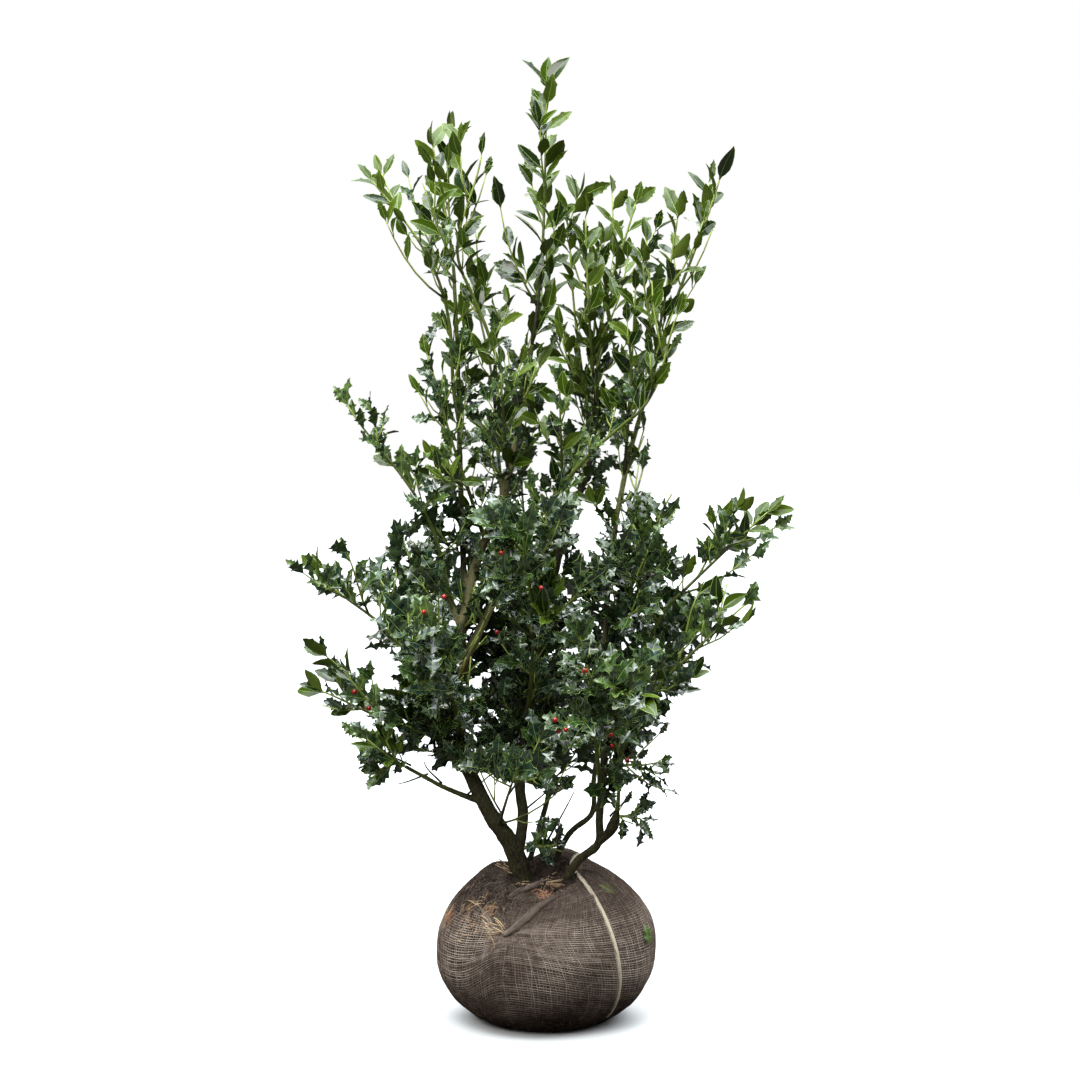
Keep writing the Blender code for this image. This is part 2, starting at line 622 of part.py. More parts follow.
def grow_mass(name, plan, path, parent, paths, trees, finish):
    # One stem, side twigs by the golden angle, leaves by the same rule on each, all fused
    spread, twigs = plan[4], plan[5]
    dice = random.Random(name)
    others = [other for key, other in paths.items() if key != name]
    space = Space(path, spread, others, trees)
    girth = tapered(len(path), STEM_RADII)
    stem = new_object(name, *tube_mesh(path, girth, TWIG_SIDES), finish)
    if parent:
        boolean(stem, parent, "DIFFERENCE")
        keep_largest(stem)
    growth = bpy.data.collections.new(name + "_growth")
    bpy.context.scene.collection.children.link(growth)
    turn = dice.uniform(0, math.tau)
    leaves = leaf_at_tip(space, growth, path, dice, turn)
    first, last = TWIG_SHARES
    for i in range(twigs):
        share = first + (last - first) * i / (twigs - 1)
        foot, ahead = along(path, share)
        turn += GOLDEN_TURN
        side = ahead.orthogonal()
        side.rotate(Matrix.Rotation(turn, 3, ahead))
        angle = math.radians(TWIG_ANGLE)
        out = (ahead * math.cos(angle) + side * math.sin(angle)).normalized()
        reach = spread * (1 - TWIG_SHORTENING * share) * dice.uniform(*TWIG_VARIES)
        for shorter in TWIG_TRIES:
            tip = foot + out * reach * shorter + UP * reach * shorter * TWIG_TURN_UP
            run = [foot, tip]
            points, faces = tube_mesh(run, TWIG_RADII, TWIG_SIDES)
            if space.takes(foot, points, faces):
                new_object("twig", points, faces, None, growth)
                leaves += leaf_at_tip(space, growth, run, dice, turn)
                leaves += leaves_along(space, growth, run, TWIG_LEAVES_FROM, TWIG_LEAVES, dice,
                                       turn * 1.7)
                if name in BERRY_MASSES and i == BERRY_TWIG:
                    grow_berry(growth, foot.lerp(tip, BERRY_SHARE), side.cross(ahead))
                break
    leaves += leaves_along(space, growth, path, STEM_LEAVES_FROM, STEM_LEAVES, dice, turn + 1.0)
    boolean(stem, growth, "UNION")
    for grown in list(growth.objects):
        bpy.data.objects.remove(grown)
    bpy.data.collections.remove(growth)
    keep_largest(stem)
    print(name, leaves, "leaves", sum(len(p.vertices) - 2 for p in stem.data.polygons))
    return stem


def main():
    clear_scene()
    bark = material("bark", (0.075, 0.070, 0.040), 0.75)
    burlap = material("burlap", (0.105, 0.080, 0.062), 0.95)
    band_cloth = material("band_cloth", (0.80, 0.76, 0.66), 0.70)
    young = material("young_leaf", (0.085, 0.210, 0.030), 0.40)
    mature = material("mature_leaf", (0.020, 0.062, 0.026), 0.30)

    ball = make_root_ball(burlap)
    ball_space = ball_mesh("ball_space", GAP)

    shapes = {}
    limbs = {}
    for name, plan in STEMS.items():
        path = smooth_path(plan["through"], plan["rings"])
        radii = tapered(len(path), plan["radii"], plan.get("flare", 0.0))
        shapes[name] = (path, radii, plan["sides"])
    for name, (parent, height, tip, leave, end, radii) in BOUGHS.items():
        foot = point_at_height(shapes[parent][0], height)
        tip = Vector(tip)
        path = bow(foot, tip, rising(foot, tip, leave), rising(foot, tip, end), BOUGH_RINGS)
        shapes[name] = (path, tapered(BOUGH_RINGS, radii), BOUGH_SIDES)

    spaces = {name: swollen(shape) for name, shape in shapes.items()}
    for name, (path, radii, sides) in shapes.items():
        parent = STEMS[name].get("parent") if name in STEMS else BOUGHS[name][0]
        cutters = [spaces[parent]] if parent else [ball_space]
        limbs[name] = make_limb(name, path, radii, sides, bark, cutters)
    make_tie_band(ball, ball_space, band_cloth)

    paths = {}
    for name, (limb, side, tip, end, *_) in MASSES.items():
        line = shapes[limb][0]
        tip = Vector(tip)
        tip -= rising(line[-1], tip, end) * LEAF_LENGTH
        if side:
            foot = point_at_height(line, side[0])
            first = rising(foot, tip, side[1])
            lead = []
        else:
            first = (line[-1] - line[-2]).normalized()
            lead = [line[-1] + first * GAP]
            foot = lead[0] + first * STRAIGHT_FOOT
        paths[name] = lead + bow(foot, tip, first, rising(foot, tip, end), STEM_RINGS)

    limb_tree = mesh_tree(list(limbs.values()) + [ball])
    trees = [limb_tree]
    for name, plan in MASSES.items():
        parent = spaces[plan[0]] if plan[1] is not None else None
        finish = young if name.startswith("shoots") else mature
        mass = grow_mass(name, plan, paths[name], parent, paths, trees, finish)
        trees.append(mesh_tree([mass]))

    for space in list(spaces.values()) + [ball_space]:
        bpy.data.objects.remove(space)


main()
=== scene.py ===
import json
import math
import random

import bpy
import numpy as np
from mathutils import Matrix, Vector, noise
from mathutils.bvhtree import BVHTree
from mathutils.kdtree import KDTree

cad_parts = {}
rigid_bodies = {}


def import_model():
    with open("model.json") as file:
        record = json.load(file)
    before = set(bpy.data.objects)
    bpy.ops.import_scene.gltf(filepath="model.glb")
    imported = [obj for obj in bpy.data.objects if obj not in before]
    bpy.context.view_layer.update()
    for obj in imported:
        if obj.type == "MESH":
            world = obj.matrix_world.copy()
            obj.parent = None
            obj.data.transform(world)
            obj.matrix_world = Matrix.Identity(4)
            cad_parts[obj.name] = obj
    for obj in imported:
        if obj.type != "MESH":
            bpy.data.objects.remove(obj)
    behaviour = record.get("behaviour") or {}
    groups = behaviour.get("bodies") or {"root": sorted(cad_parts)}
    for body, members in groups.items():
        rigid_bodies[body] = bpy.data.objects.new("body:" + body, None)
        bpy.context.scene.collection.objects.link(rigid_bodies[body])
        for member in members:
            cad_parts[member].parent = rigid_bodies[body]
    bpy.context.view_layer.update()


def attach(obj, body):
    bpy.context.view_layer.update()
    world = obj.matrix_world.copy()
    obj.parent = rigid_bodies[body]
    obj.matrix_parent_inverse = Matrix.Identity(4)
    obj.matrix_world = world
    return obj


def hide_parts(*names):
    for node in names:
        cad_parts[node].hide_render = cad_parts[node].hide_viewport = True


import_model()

upward = Vector((0, 0, 1))
goldenTurn = math.radians(137.5)


def paint(red, green, blue):
    # A colour given as screen numbers from 0 to 255
    return tuple((c / 255 / 12.92) if c <= 10 else ((c / 255 + 0.055) / 1.055) ** 2.4
                 for c in (red, green, blue))


def scaled(colour, factor):
    return tuple(c * factor for c in colour)


# Shader nodes


def feed(tree, socket, value):
    # Links a socket to another node's output, or sets it to a plain value or colour
    if isinstance(value, bpy.types.NodeSocket):
        tree.links.new(value, socket)
    elif isinstance(value, tuple):
        socket.default_value = (*value, 1)[:len(socket.default_value)]
    else:
        socket.default_value = value


def addNode(tree, kind, values=None, **settings):
    made = tree.nodes.new("ShaderNode" + kind)
    for key, value in settings.items():
        setattr(made, key, value)
    for key, value in (values or {}).items():
        feed(tree, made.inputs[key], value)
    return made.outputs


def blend(tree, mask, low, high):
    return addNode(tree, "Mix", {0: mask, 6: low, 7: high}, data_type="RGBA")[2]


def ramp(tree, source, low, high):
    # 0 where the source is at low, 1 where it is at high
    return addNode(tree, "MapRange", {"Value": source, "From Min": low, "From Max": high})[0]


def newGroup(name, inputs, outputs):
    group = bpy.data.node_groups.new(name, "ShaderNodeTree")
    for key, value in inputs.items():
        socket = group.interface.new_socket(key, in_out="INPUT", socket_type="NodeSocketFloat")
        socket.default_value = value
    for key, kind in outputs.items():
        group.interface.new_socket(key, in_out="OUTPUT", socket_type="NodeSocket" + kind)
    given, gives = group.nodes.new("NodeGroupInput"), group.nodes.new("NodeGroupOutput")
    return group, given.outputs, gives.inputs


def makeRippleGroup():
    # The blisters of a leathery leaf, and how its gloss changes over them
    group, given, gives = newGroup(
        "leafRipple", {"Size": 140.0, "Depth": 0.3, "Glossy": 0.25, "Matt": 0.4},
        {"Roughness": "Float", "Normal": "Vector"})
    where = addNode(group, "TexCoord")["Object"]
    blister = addNode(group, "TexNoise", {"Vector": where, "Scale": given["Size"],
                                          "Detail": 2.0, "Roughness": 0.5})["Fac"]
    gloss = addNode(group, "TexNoise", {"Vector": where, "Scale": 55.0, "Detail": 2.0})["Fac"]
    bump = addNode(group, "Bump", {"Strength": given["Depth"], "Distance": 0.0016,
                                   "Height": blister})["Normal"]
    shine = addNode(group, "MapRange", {"Value": gloss, "From Min": 0.35, "From Max": 0.65,
                                        "To Min": given["Glossy"], "To Max": given["Matt"]})
    feed(group, gives["Roughness"], shine["Result"])
    feed(group, gives["Normal"], bump)
    return group


def makeGrainGroup():
    # Two sizes of grain: a mask for the colour, and their relief
    group, given, gives = newGroup(
        "roughGrain", {"Coarse": 30.0, "Fine": 400.0, "Stretch": 1.0, "Depth": 0.5},
        {"Coarse": "Float", "Fine": "Float", "Normal": "Vector"})
    where = addNode(group, "SeparateXYZ", {0: addNode(group, "TexCoord")["Object"]})
    tall = addNode(group, "Math", {0: where["Z"], 1: given["Stretch"]}, operation="MULTIPLY")[0]
    place = addNode(group, "CombineXYZ", {"X": where["X"], "Y": where["Y"], "Z": tall})[0]
    masks = {}
    for size, detail in (("Coarse", 3.0), ("Fine", 4.0)):
        grain = addNode(group, "TexNoise", {"Vector": place, "Scale": given[size],
                                            "Detail": detail, "Roughness": 0.6})["Fac"]
        masks[size] = ramp(group, grain, 0.3, 0.7)
        feed(group, gives[size], masks[size])
    added = addNode(group, "Math", {0: masks["Coarse"], 1: 0.6, 2: masks["Fine"]},
                    operation="MULTIPLY_ADD")[0]
    feed(group, gives["Normal"], addNode(group, "Bump", {
        "Distance": 0.001, "Strength": given["Depth"], "Height": added})["Normal"])
    return group


rippleGroup = makeRippleGroup()
grainGroup = makeGrainGroup()


def placeGroup(tree, group, values):
    made = tree.nodes.new("ShaderNodeGroup")
    made.node_tree = group
    for key, value in values.items():
        feed(tree, made.inputs[key], value)
    return made.outputs


def dress(finish, values):
    # Feeds the sockets of a finish's shader
    shader = finish.node_tree.nodes["Principled BSDF"]
    for key, value in values.items():
        feed(finish.node_tree, shader.inputs[key], value)


def newFinish(name, colour, roughness, values=None):
    finish = bpy.data.materials.new(name)
    finish.use_nodes = True
    finish.diffuse_color = (*colour, 1)
    dress(finish, {"Base Color": colour, "Roughness": roughness, **(values or {})})
    return finish


def addGrain(finish, low, high, sizes):
    # Relief by the grain; returns its fine mask and a colour that wanders between the two
    tree = finish.node_tree
    grain = placeGroup(tree, grainGroup, sizes)
    dress(finish, {"Normal": grain["Normal"]})
    return grain["Fine"], blend(tree, grain["Coarse"], low, high)


def grainyFinish(name, colour, roughness, low, high, sizes, values):
    finish = newFinish(name, colour, roughness, values)
    dress(finish, {"Base Color": addGrain(finish, low, high, sizes)[1]})
    return finish


# Camera and studio

viewPlan = {
    "place": (-0.009, -4.0, 1.05),
    "downDegrees": 2.89,
    "lens": 76.0,
    "sensor": 36.0,
    "imageSide": 1080,
}
studioPlan = {
    "floorColour": (0.92, 0.92, 0.91), "floorBounce": (0.065, 0.061, 0.055),
    "backdropColour": (1.0, 1.0, 1.0),
    # colour and strength of the bright sky overhead, and of the rest of it
    "zenith": ((0.91, 0.96, 1.0), 3.5), "horizon": ((1.0, 0.98, 0.95), 0.055),
    "capRange": (0.50, 0.84),
}
# Place, target, width and depth in metres, watts and colour
lampPlan = {
    "topSheet": ((-0.5, -0.9, 3.4), (0.0, 0.0, 0.9), (2.6, 2.0), 86.0, (0.90, 0.96, 1.0)),
    "frontSheet": ((-2.4, -3.0, 2.8), (0.0, 0.0, 0.8), (1.6, 1.6), 60.0, (1.0, 0.98, 0.95)),
    "sideSheet": ((2.8, -0.4, 2.6), (0.0, 0.0, 0.9), (1.4, 1.6), 22.0, (0.92, 0.97, 1.0)),
    "backSheet": ((0.6, 2.8, 3.0), (0.0, 0.0, 0.9), (2.0, 1.4), 30.0, (0.95, 0.98, 1.0)),
}
lookDown = math.radians(viewPlan["downDegrees"])
lookAhead = Vector((0, math.cos(lookDown), -math.sin(lookDown)))
lookAbove = Vector((0, math.sin(lookDown), math.cos(lookDown)))
pixelSlope = viewPlan["sensor"] / viewPlan["lens"] / viewPlan["imageSide"]
middlePixel = viewPlan["imageSide"] / 2


def makeCamera():
    lensData = bpy.data.cameras.new("camera")
    lensData.lens = viewPlan["lens"]
    lensData.sensor_width = viewPlan["sensor"]
    camera = bpy.data.objects.new("camera", lensData)
    bpy.context.scene.collection.objects.link(camera)
    camera.location = viewPlan["place"]
    camera.rotation_euler = (math.radians(90 - viewPlan["downDegrees"]), 0, 0)
    bpy.context.scene.camera = camera


def makeSky():
    # The light falls from above; the camera sees plain white behind the shrub
    world = bpy.data.worlds.new("paleSky")
    bpy.context.scene.world = world
    world.use_nodes = True
    tree = world.node_tree
    where = addNode(tree, "SeparateXYZ", {0: addNode(tree, "TexCoord")["Generated"]})
    shade = blend(tree, ramp(tree, where["Z"], *studioPlan["capRange"]),
                  scaled(*studioPlan["horizon"]), scaled(*studioPlan["zenith"]))
    seen = addNode(tree, "LightPath")["Is Camera Ray"]
    feed(tree, tree.nodes["Background"].inputs["Color"],
         blend(tree, seen, shade, studioPlan["backdropColour"]))
    bpy.context.scene.view_settings.view_transform = "Standard"


def makeLamps():
    for name, (place, target, size, watts, colour) in lampPlan.items():
        lamp = bpy.data.lights.new(name, "AREA")
        lamp.shape = "RECTANGLE"
        lamp.size, lamp.size_y = size
        lamp.energy = watts
        lamp.color = colour
        holder = bpy.data.objects.new(name, lamp)
        bpy.context.scene.collection.objects.link(holder)
        holder.location = place
        away = Vector(target) - holder.location
        holder.rotation_euler = away.to_track_quat("-Z", "Y").to_euler()


def makeFloor():
    # White for the camera, as dark as ground for the light that it throws back up
    deselectAll()
    bpy.ops.mesh.primitive_plane_add(size=60)
    floor = bpy.context.active_object
    floor.name = "floor"
    finish = newFinish("paleFloor", studioPlan["floorColour"], 0.9)
    tree = finish.node_tree
    seen = addNode(tree, "LightPath")["Is Camera Ray"]
    shade = blend(tree, seen, studioPlan["floorBounce"], studioPlan["floorColour"])
    grain = placeGroup(tree, grainGroup, {"Coarse": 3.0, "Fine": 60.0, "Depth": 0.05})
    dress(finish, {"Base Color": shade, "Normal": grain["Normal"]})
    floor.data.materials.append(finish)


def pixelRay(px, py):
    # The line of sight through a pixel of the photograph
    line = (lookAhead + Vector((1, 0, 0)) * (px - middlePixel) * pixelSlope
            + lookAbove * (middlePixel - py) * pixelSlope)
    return Vector(viewPlan["place"]), line.normalized()


def pixelOf(point):
    # The pixel of the photograph that shows a point
    away = Vector(point) - Vector(viewPlan["place"])
    deep = away.y * math.cos(lookDown) - away.z * math.sin(lookDown)
    tall = away.y * math.sin(lookDown) + away.z * math.cos(lookDown)
    scale = viewPlan["imageSide"] * viewPlan["lens"] / viewPlan["sensor"] / deep
    return middlePixel + away.x * scale, middlePixel - tall * scale


def atDepth(pixel, depth):
    # The point at a depth that a pixel of the photo shows
    start, line = pixelRay(*pixel)
    return start + line * ((depth - start.y) / line.y)


# Working with pieces


def deselectAll():
    for thing in bpy.context.view_layer.objects.selected[:]:
        thing.select_set(False)


def pick(*things):
    # Selects these alone, with the first as the active one
    deselectAll()
    for thing in things:
        thing.select_set(True)
    bpy.context.view_layer.objects.active = things[0]


def applyStep(thing, kind, **settings):
    pick(thing)
    step = thing.modifiers.new(kind.lower(), kind)
    for key, value in settings.items():
        setattr(step, key, value)
    bpy.ops.object.modifier_apply(modifier=step.name)


def settle(thing, name, nodes=(), finish=None):
    # Names a finished piece, gives it its finish and hands it to the frame
    thing.name = thing.data.name = name
    if finish:
        thing.data.materials.clear()
        thing.data.materials.append(finish)
    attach(thing, "root")
    if nodes:
        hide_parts(*nodes)
    print(name, sum(len(p.vertices) - 2 for p in thing.data.polygons), "triangles")


class Sheaf:
    # Copies of small shapes, gathered as arrays and made into one mesh
    def __init__(self):
        self.points, self.corners, self.totals, self.tints = [], [], [], []
        self.count = 0

    def add(self, points, corners, totals, tints):
        self.points.append(points)
        self.corners.append(corners + self.count)
        self.totals.append(totals)
        self.tints.append(tints)
        self.count += len(points)

    def settle(self, name, slot, finishes, nodes=(), sharpAngle=None):
        points = np.concatenate(self.points).astype(np.float32)
        corners, totals, tints = (np.concatenate(rows).astype(np.int32)
                                  for rows in (self.corners, self.totals, self.tints))
        mesh = bpy.data.meshes.new(name)
        mesh.vertices.add(len(points))
        mesh.vertices.foreach_set("co", points.ravel())
        mesh.loops.add(len(corners))
        mesh.loops.foreach_set("vertex_index", corners)
        mesh.polygons.add(len(totals))
        starts = np.concatenate(([0], np.cumsum(totals)[:-1])).astype(np.int32)
        mesh.polygons.foreach_set("loop_start", starts)
        for finish in finishes:
            mesh.materials.append(finish)
        mesh.polygons.foreach_set("material_index", tints)
        mesh.update(calc_edges=True)
        mesh.shade_smooth()
        if sharpAngle:
            mesh.set_sharp_from_angle(angle=math.radians(sharpAngle))
        made = bpy.data.objects.new(name, mesh)
        bpy.context.scene.collection.objects.link(made)
        settle(made, name, nodes)


def tubeArrays(path, radii, sides, tint=0, flat=1.0):
    # A tube round a path as arrays: rings carried along without twisting, closed at both ends
    points = []
    side = None
    for i, place in enumerate(path):
        ahead = (path[min(i + 1, len(path) - 1)] - path[max(i - 1, 0)]).normalized()
        if side is None:
            side = ahead.orthogonal()
        side = (side - ahead * side.dot(ahead)).normalized()
        across = ahead.cross(side)
        for k in range(sides):
            turn = math.tau * k / sides
            points.append(place + side * (math.cos(turn) * radii[i])
                          + across * (math.sin(turn) * radii[i] * flat))
    around = np.arange(sides)
    after = (around + 1) % sides
    walls = []
    for i in range(len(path) - 1):
        low = i * sides
        walls.append(np.stack([low + around, low + after, low + sides + after,
                               low + sides + around], axis=1).ravel())
    top = (len(path) - 1) * sides
    corners = np.concatenate([around[::-1]] + walls + [top + around])
    totals = np.array([sides] + [4] * (sides * (len(path) - 1)) + [sides])
    tints = np.full(len(totals), tint) if np.isscalar(tint) else tint
    return np.array(points), corners, totals, tints


def curveTube(path, radii):
    # A round tube along a poly curve with its own width at each point, as a mesh
    deselectAll()
    bpy.ops.curve.primitive_bezier_curve_add()
    tube = bpy.context.active_object
    line = tube.data
    line.splines.clear()
    strand = line.splines.new("POLY")
    strand.points.add(len(path) - 1)
    for point, place, radius in zip(strand.points, path, radii):
        point.co = (*place, 1)
        point.radius = radius
    line.dimensions = "3D"
    line.bevel_depth = 1.0
    line.bevel_resolution = 4
    line.use_fill_caps = True
    pick(tube)
    bpy.ops.object.convert(target="MESH")
    return bpy.context.active_object


def fuse(tubes, voxel, smoothing, kept, relief=None):
    # Joins tubes into one skin, softens it, gives it its relief and thins its mesh
    pick(*tubes)
    bpy.ops.object.join()
    fused = bpy.context.active_object
    applyStep(fused, "REMESH", mode="VOXEL", voxel_size=voxel)
    applyStep(fused, "SMOOTH", factor=0.5, iterations=smoothing)
    if relief:
        relief(fused)
    applyStep(fused, "DECIMATE", ratio=kept)
    fused.data.shade_smooth()
    return fused


# Paths


def evenRun(fine, count):
    lengths = [0.0]
    for a, b in zip(fine, fine[1:]):
        lengths.append(lengths[-1] + (b - a).length)
    run = []
    k = 0
    for i in range(count):
        want = lengths[-1] * i / (count - 1)
        while k < len(fine) - 2 and lengths[k + 1] < want:
            k += 1
        part = (want - lengths[k]) / max(lengths[k + 1] - lengths[k], 1e-9)
        run.append(fine[k].lerp(fine[k + 1], min(part, 1.0)))
    return run


def smoothPath(places, count):
    knots = [Vector(p) for p in places]
    knots = [2 * knots[0] - knots[1]] + knots + [2 * knots[-1] - knots[-2]]
    fine = []
    for a, b, c, d in zip(knots, knots[1:], knots[2:], knots[3:]):
        for step in range(12):
            t = step / 12
            fine.append(0.5 * (2 * b + (c - a) * t + (2 * a - 5 * b + 4 * c - d) * t * t
                               + (3 * b - a - 3 * c + d) * t ** 3))
    fine.append(knots[-2])
    return evenRun(fine, count)


def bow(foot, tip, first, last, count):
    # A limb that leaves its foot and ends at its tip in the given directions
    reach = (tip - foot).length * 0.36
    second = foot + first * reach
    third = tip - last * reach
    steps = max(6, min(25, count * 3))
    fine = []
    for i in range(steps):
        t = i / (steps - 1)
        s = 1 - t
        fine.append(s ** 3 * foot + 3 * s * s * t * second + 3 * s * t * t * third + t ** 3 * tip)
    return evenRun(fine, count)


def rising(foot, tip, angle):
    level = Vector((tip.x - foot.x, tip.y - foot.y, 0)).normalized()
    return level * math.cos(math.radians(angle)) + upward * math.sin(math.radians(angle))


def pointAtHeight(path, height):
    for a, b in zip(path, path[1:]):
        if a.z <= height <= b.z:
            return a.lerp(b, (height - a.z) / (b.z - a.z))
    return path[-1].copy()


def alongPath(path, share):
    spot = share * (len(path) - 1)
    k = min(int(spot), len(path) - 2)
    return path[k].lerp(path[k + 1], spot - k), (path[k + 1] - path[k]).normalized()


def pathLength(path):
    return sum((b - a).length for a, b in zip(path, path[1:]))


def lineDistance(point, path):
    best = 1e9
    for a, b in zip(path, path[1:]):
        line = b - a
        share = max(0.0, min(1.0, (point - a).dot(line) / line.length_squared))
        best = min(best, (point - a - line * share).length)
    return best


def spreadFrom(ahead, turn, angle):
    side = ahead.orthogonal()
    side.rotate(Matrix.Rotation(turn, 3, ahead))
    return (ahead * math.cos(angle) + side * math.sin(angle)).normalized()


# The shrub's skeleton, in the same places as the solids

stemPlan = {
    "trunk": {
        "through": [(-0.03, -0.015, 0.205), (-0.054, -0.018, 0.3), (-0.104, -0.022, 0.381),
                    (-0.146, -0.018, 0.486), (-0.154, -0.01, 0.626), (-0.125, 0.0, 0.793),
                    (-0.079, 0.006, 0.907), (-0.052, 0.006, 1.02), (-0.023, 0.0, 1.19)],
        "radii": (0.0165, 0.0042), "flare": 0.012,
    },
    "stem_middle": {
        "through": [(-0.049, -0.017, 0.285), (-0.039, 0.006, 0.36), (-0.044, 0.018, 0.43),
                    (-0.018, 0.035, 0.6), (0.03, 0.045, 0.84), (0.082, 0.042, 1.0),
                    (0.096, 0.035, 1.2)],
        "radii": (0.0108, 0.004),
    },
    "stem_right": {
        "through": [(0.014, -0.046, 0.205), (0.052, -0.056, 0.284), (0.092, -0.062, 0.322),
                    (0.095, -0.058, 0.37), (0.104, -0.05, 0.5), (0.108, -0.04, 0.75),
                    (0.14, -0.036, 0.97), (0.204, -0.03, 1.196)],
        "radii": (0.0082, 0.0034),
    },
    "stem_right_back": {
        "through": [(0.0, 0.018, 0.23), (0.04, 0.03, 0.318), (0.084, 0.04, 0.358),
                    (0.088, 0.055, 0.42), (0.105, 0.085, 0.55), (0.135, 0.11, 0.72),
                    (0.15, 0.12, 0.86)],
        "radii": (0.0058, 0.0028),
    },
    "stem_back": {
        "through": [(-0.04, 0.04, 0.23), (-0.01, 0.055, 0.33), (0.012, 0.085, 0.42),
                    (0.005, 0.125, 0.54), (-0.02, 0.15, 0.69), (-0.035, 0.15, 0.85)],
        "radii": (0.0056, 0.0028),
    },
}
# Parent, height where each leaves it, its tip, how steeply it leaves and ends, radii
boughPlan = {
    "bough_left_low": ("trunk", 0.389, (-0.246, -0.035, 0.454), 15, 30, (0.0055, 0.0032)),
    "bough_left_mid": ("trunk", 0.47, (-0.275, 0.03, 0.525), 30, 12, (0.0055, 0.0032)),
    "bough_left_high": ("trunk", 0.56, (-0.285, -0.03, 0.7), 40, 42, (0.0055, 0.0032)),
    "bough_mid_left": ("trunk", 0.69, (-0.205, -0.045, 0.89), 60, 60, (0.005, 0.003)),
    "bough_mid_left_inner": ("trunk", 0.85, (-0.15, -0.025, 0.985), 60, 66, (0.0042, 0.0028)),
    "bough_upper_left": ("trunk", 0.73, (-0.16, 0.055, 1.3), 78, 80, (0.0062, 0.0034)),
    "bough_upper_left_outer": ("bough_upper_left", 1.06, (-0.176, -0.01, 1.27), 62, 62,
                               (0.0038, 0.0028)),
    "bough_leader_left": ("trunk", 1.07, (-0.142, -0.03, 1.31), 62, 62, (0.0038, 0.0028)),
    "bough_right_high": ("stem_right", 0.5, (0.235, -0.05, 0.757), 42, 40, (0.0052, 0.003)),
    "bough_right_mid": ("stem_right", 0.44, (0.225, -0.115, 0.635), 45, 40, (0.0046, 0.003)),
    "bough_right_foot": ("stem_right", 0.326, (0.128, -0.074, 0.45), 30, 88, (0.0048, 0.0028)),
    "bough_front_long": ("trunk", 0.61, (0.147, -0.105, 1.061), 62, 35, (0.0064, 0.0028)),
    "bough_front_left": ("trunk", 0.5, (-0.16, -0.13, 0.6), 30, 38, (0.0046, 0.003)),
    "bough_front_mid": ("stem_middle", 0.52, (-0.02, -0.12, 0.68), 30, 46, (0.0046, 0.003)),
    "bough_front_right": ("stem_right", 0.4, (0.085, -0.17, 0.52), 35, 38, (0.0046, 0.003)),
    "bough_back_left": ("trunk", 0.52, (-0.185, 0.13, 0.64), 35, 38, (0.0046, 0.003)),
    "bough_back_right": ("stem_right_back", 0.5, (0.175, 0.165, 0.59), 35, 32,
                         (0.0042, 0.0028)),
    "bough_upper_back": ("stem_middle", 0.94, (0.08, 0.13, 1.1), 55, 72, (0.004, 0.0028)),
    "bough_upper_back_left": ("trunk", 0.92, (-0.09, 0.11, 1.08), 55, 74, (0.004, 0.0028)),
}
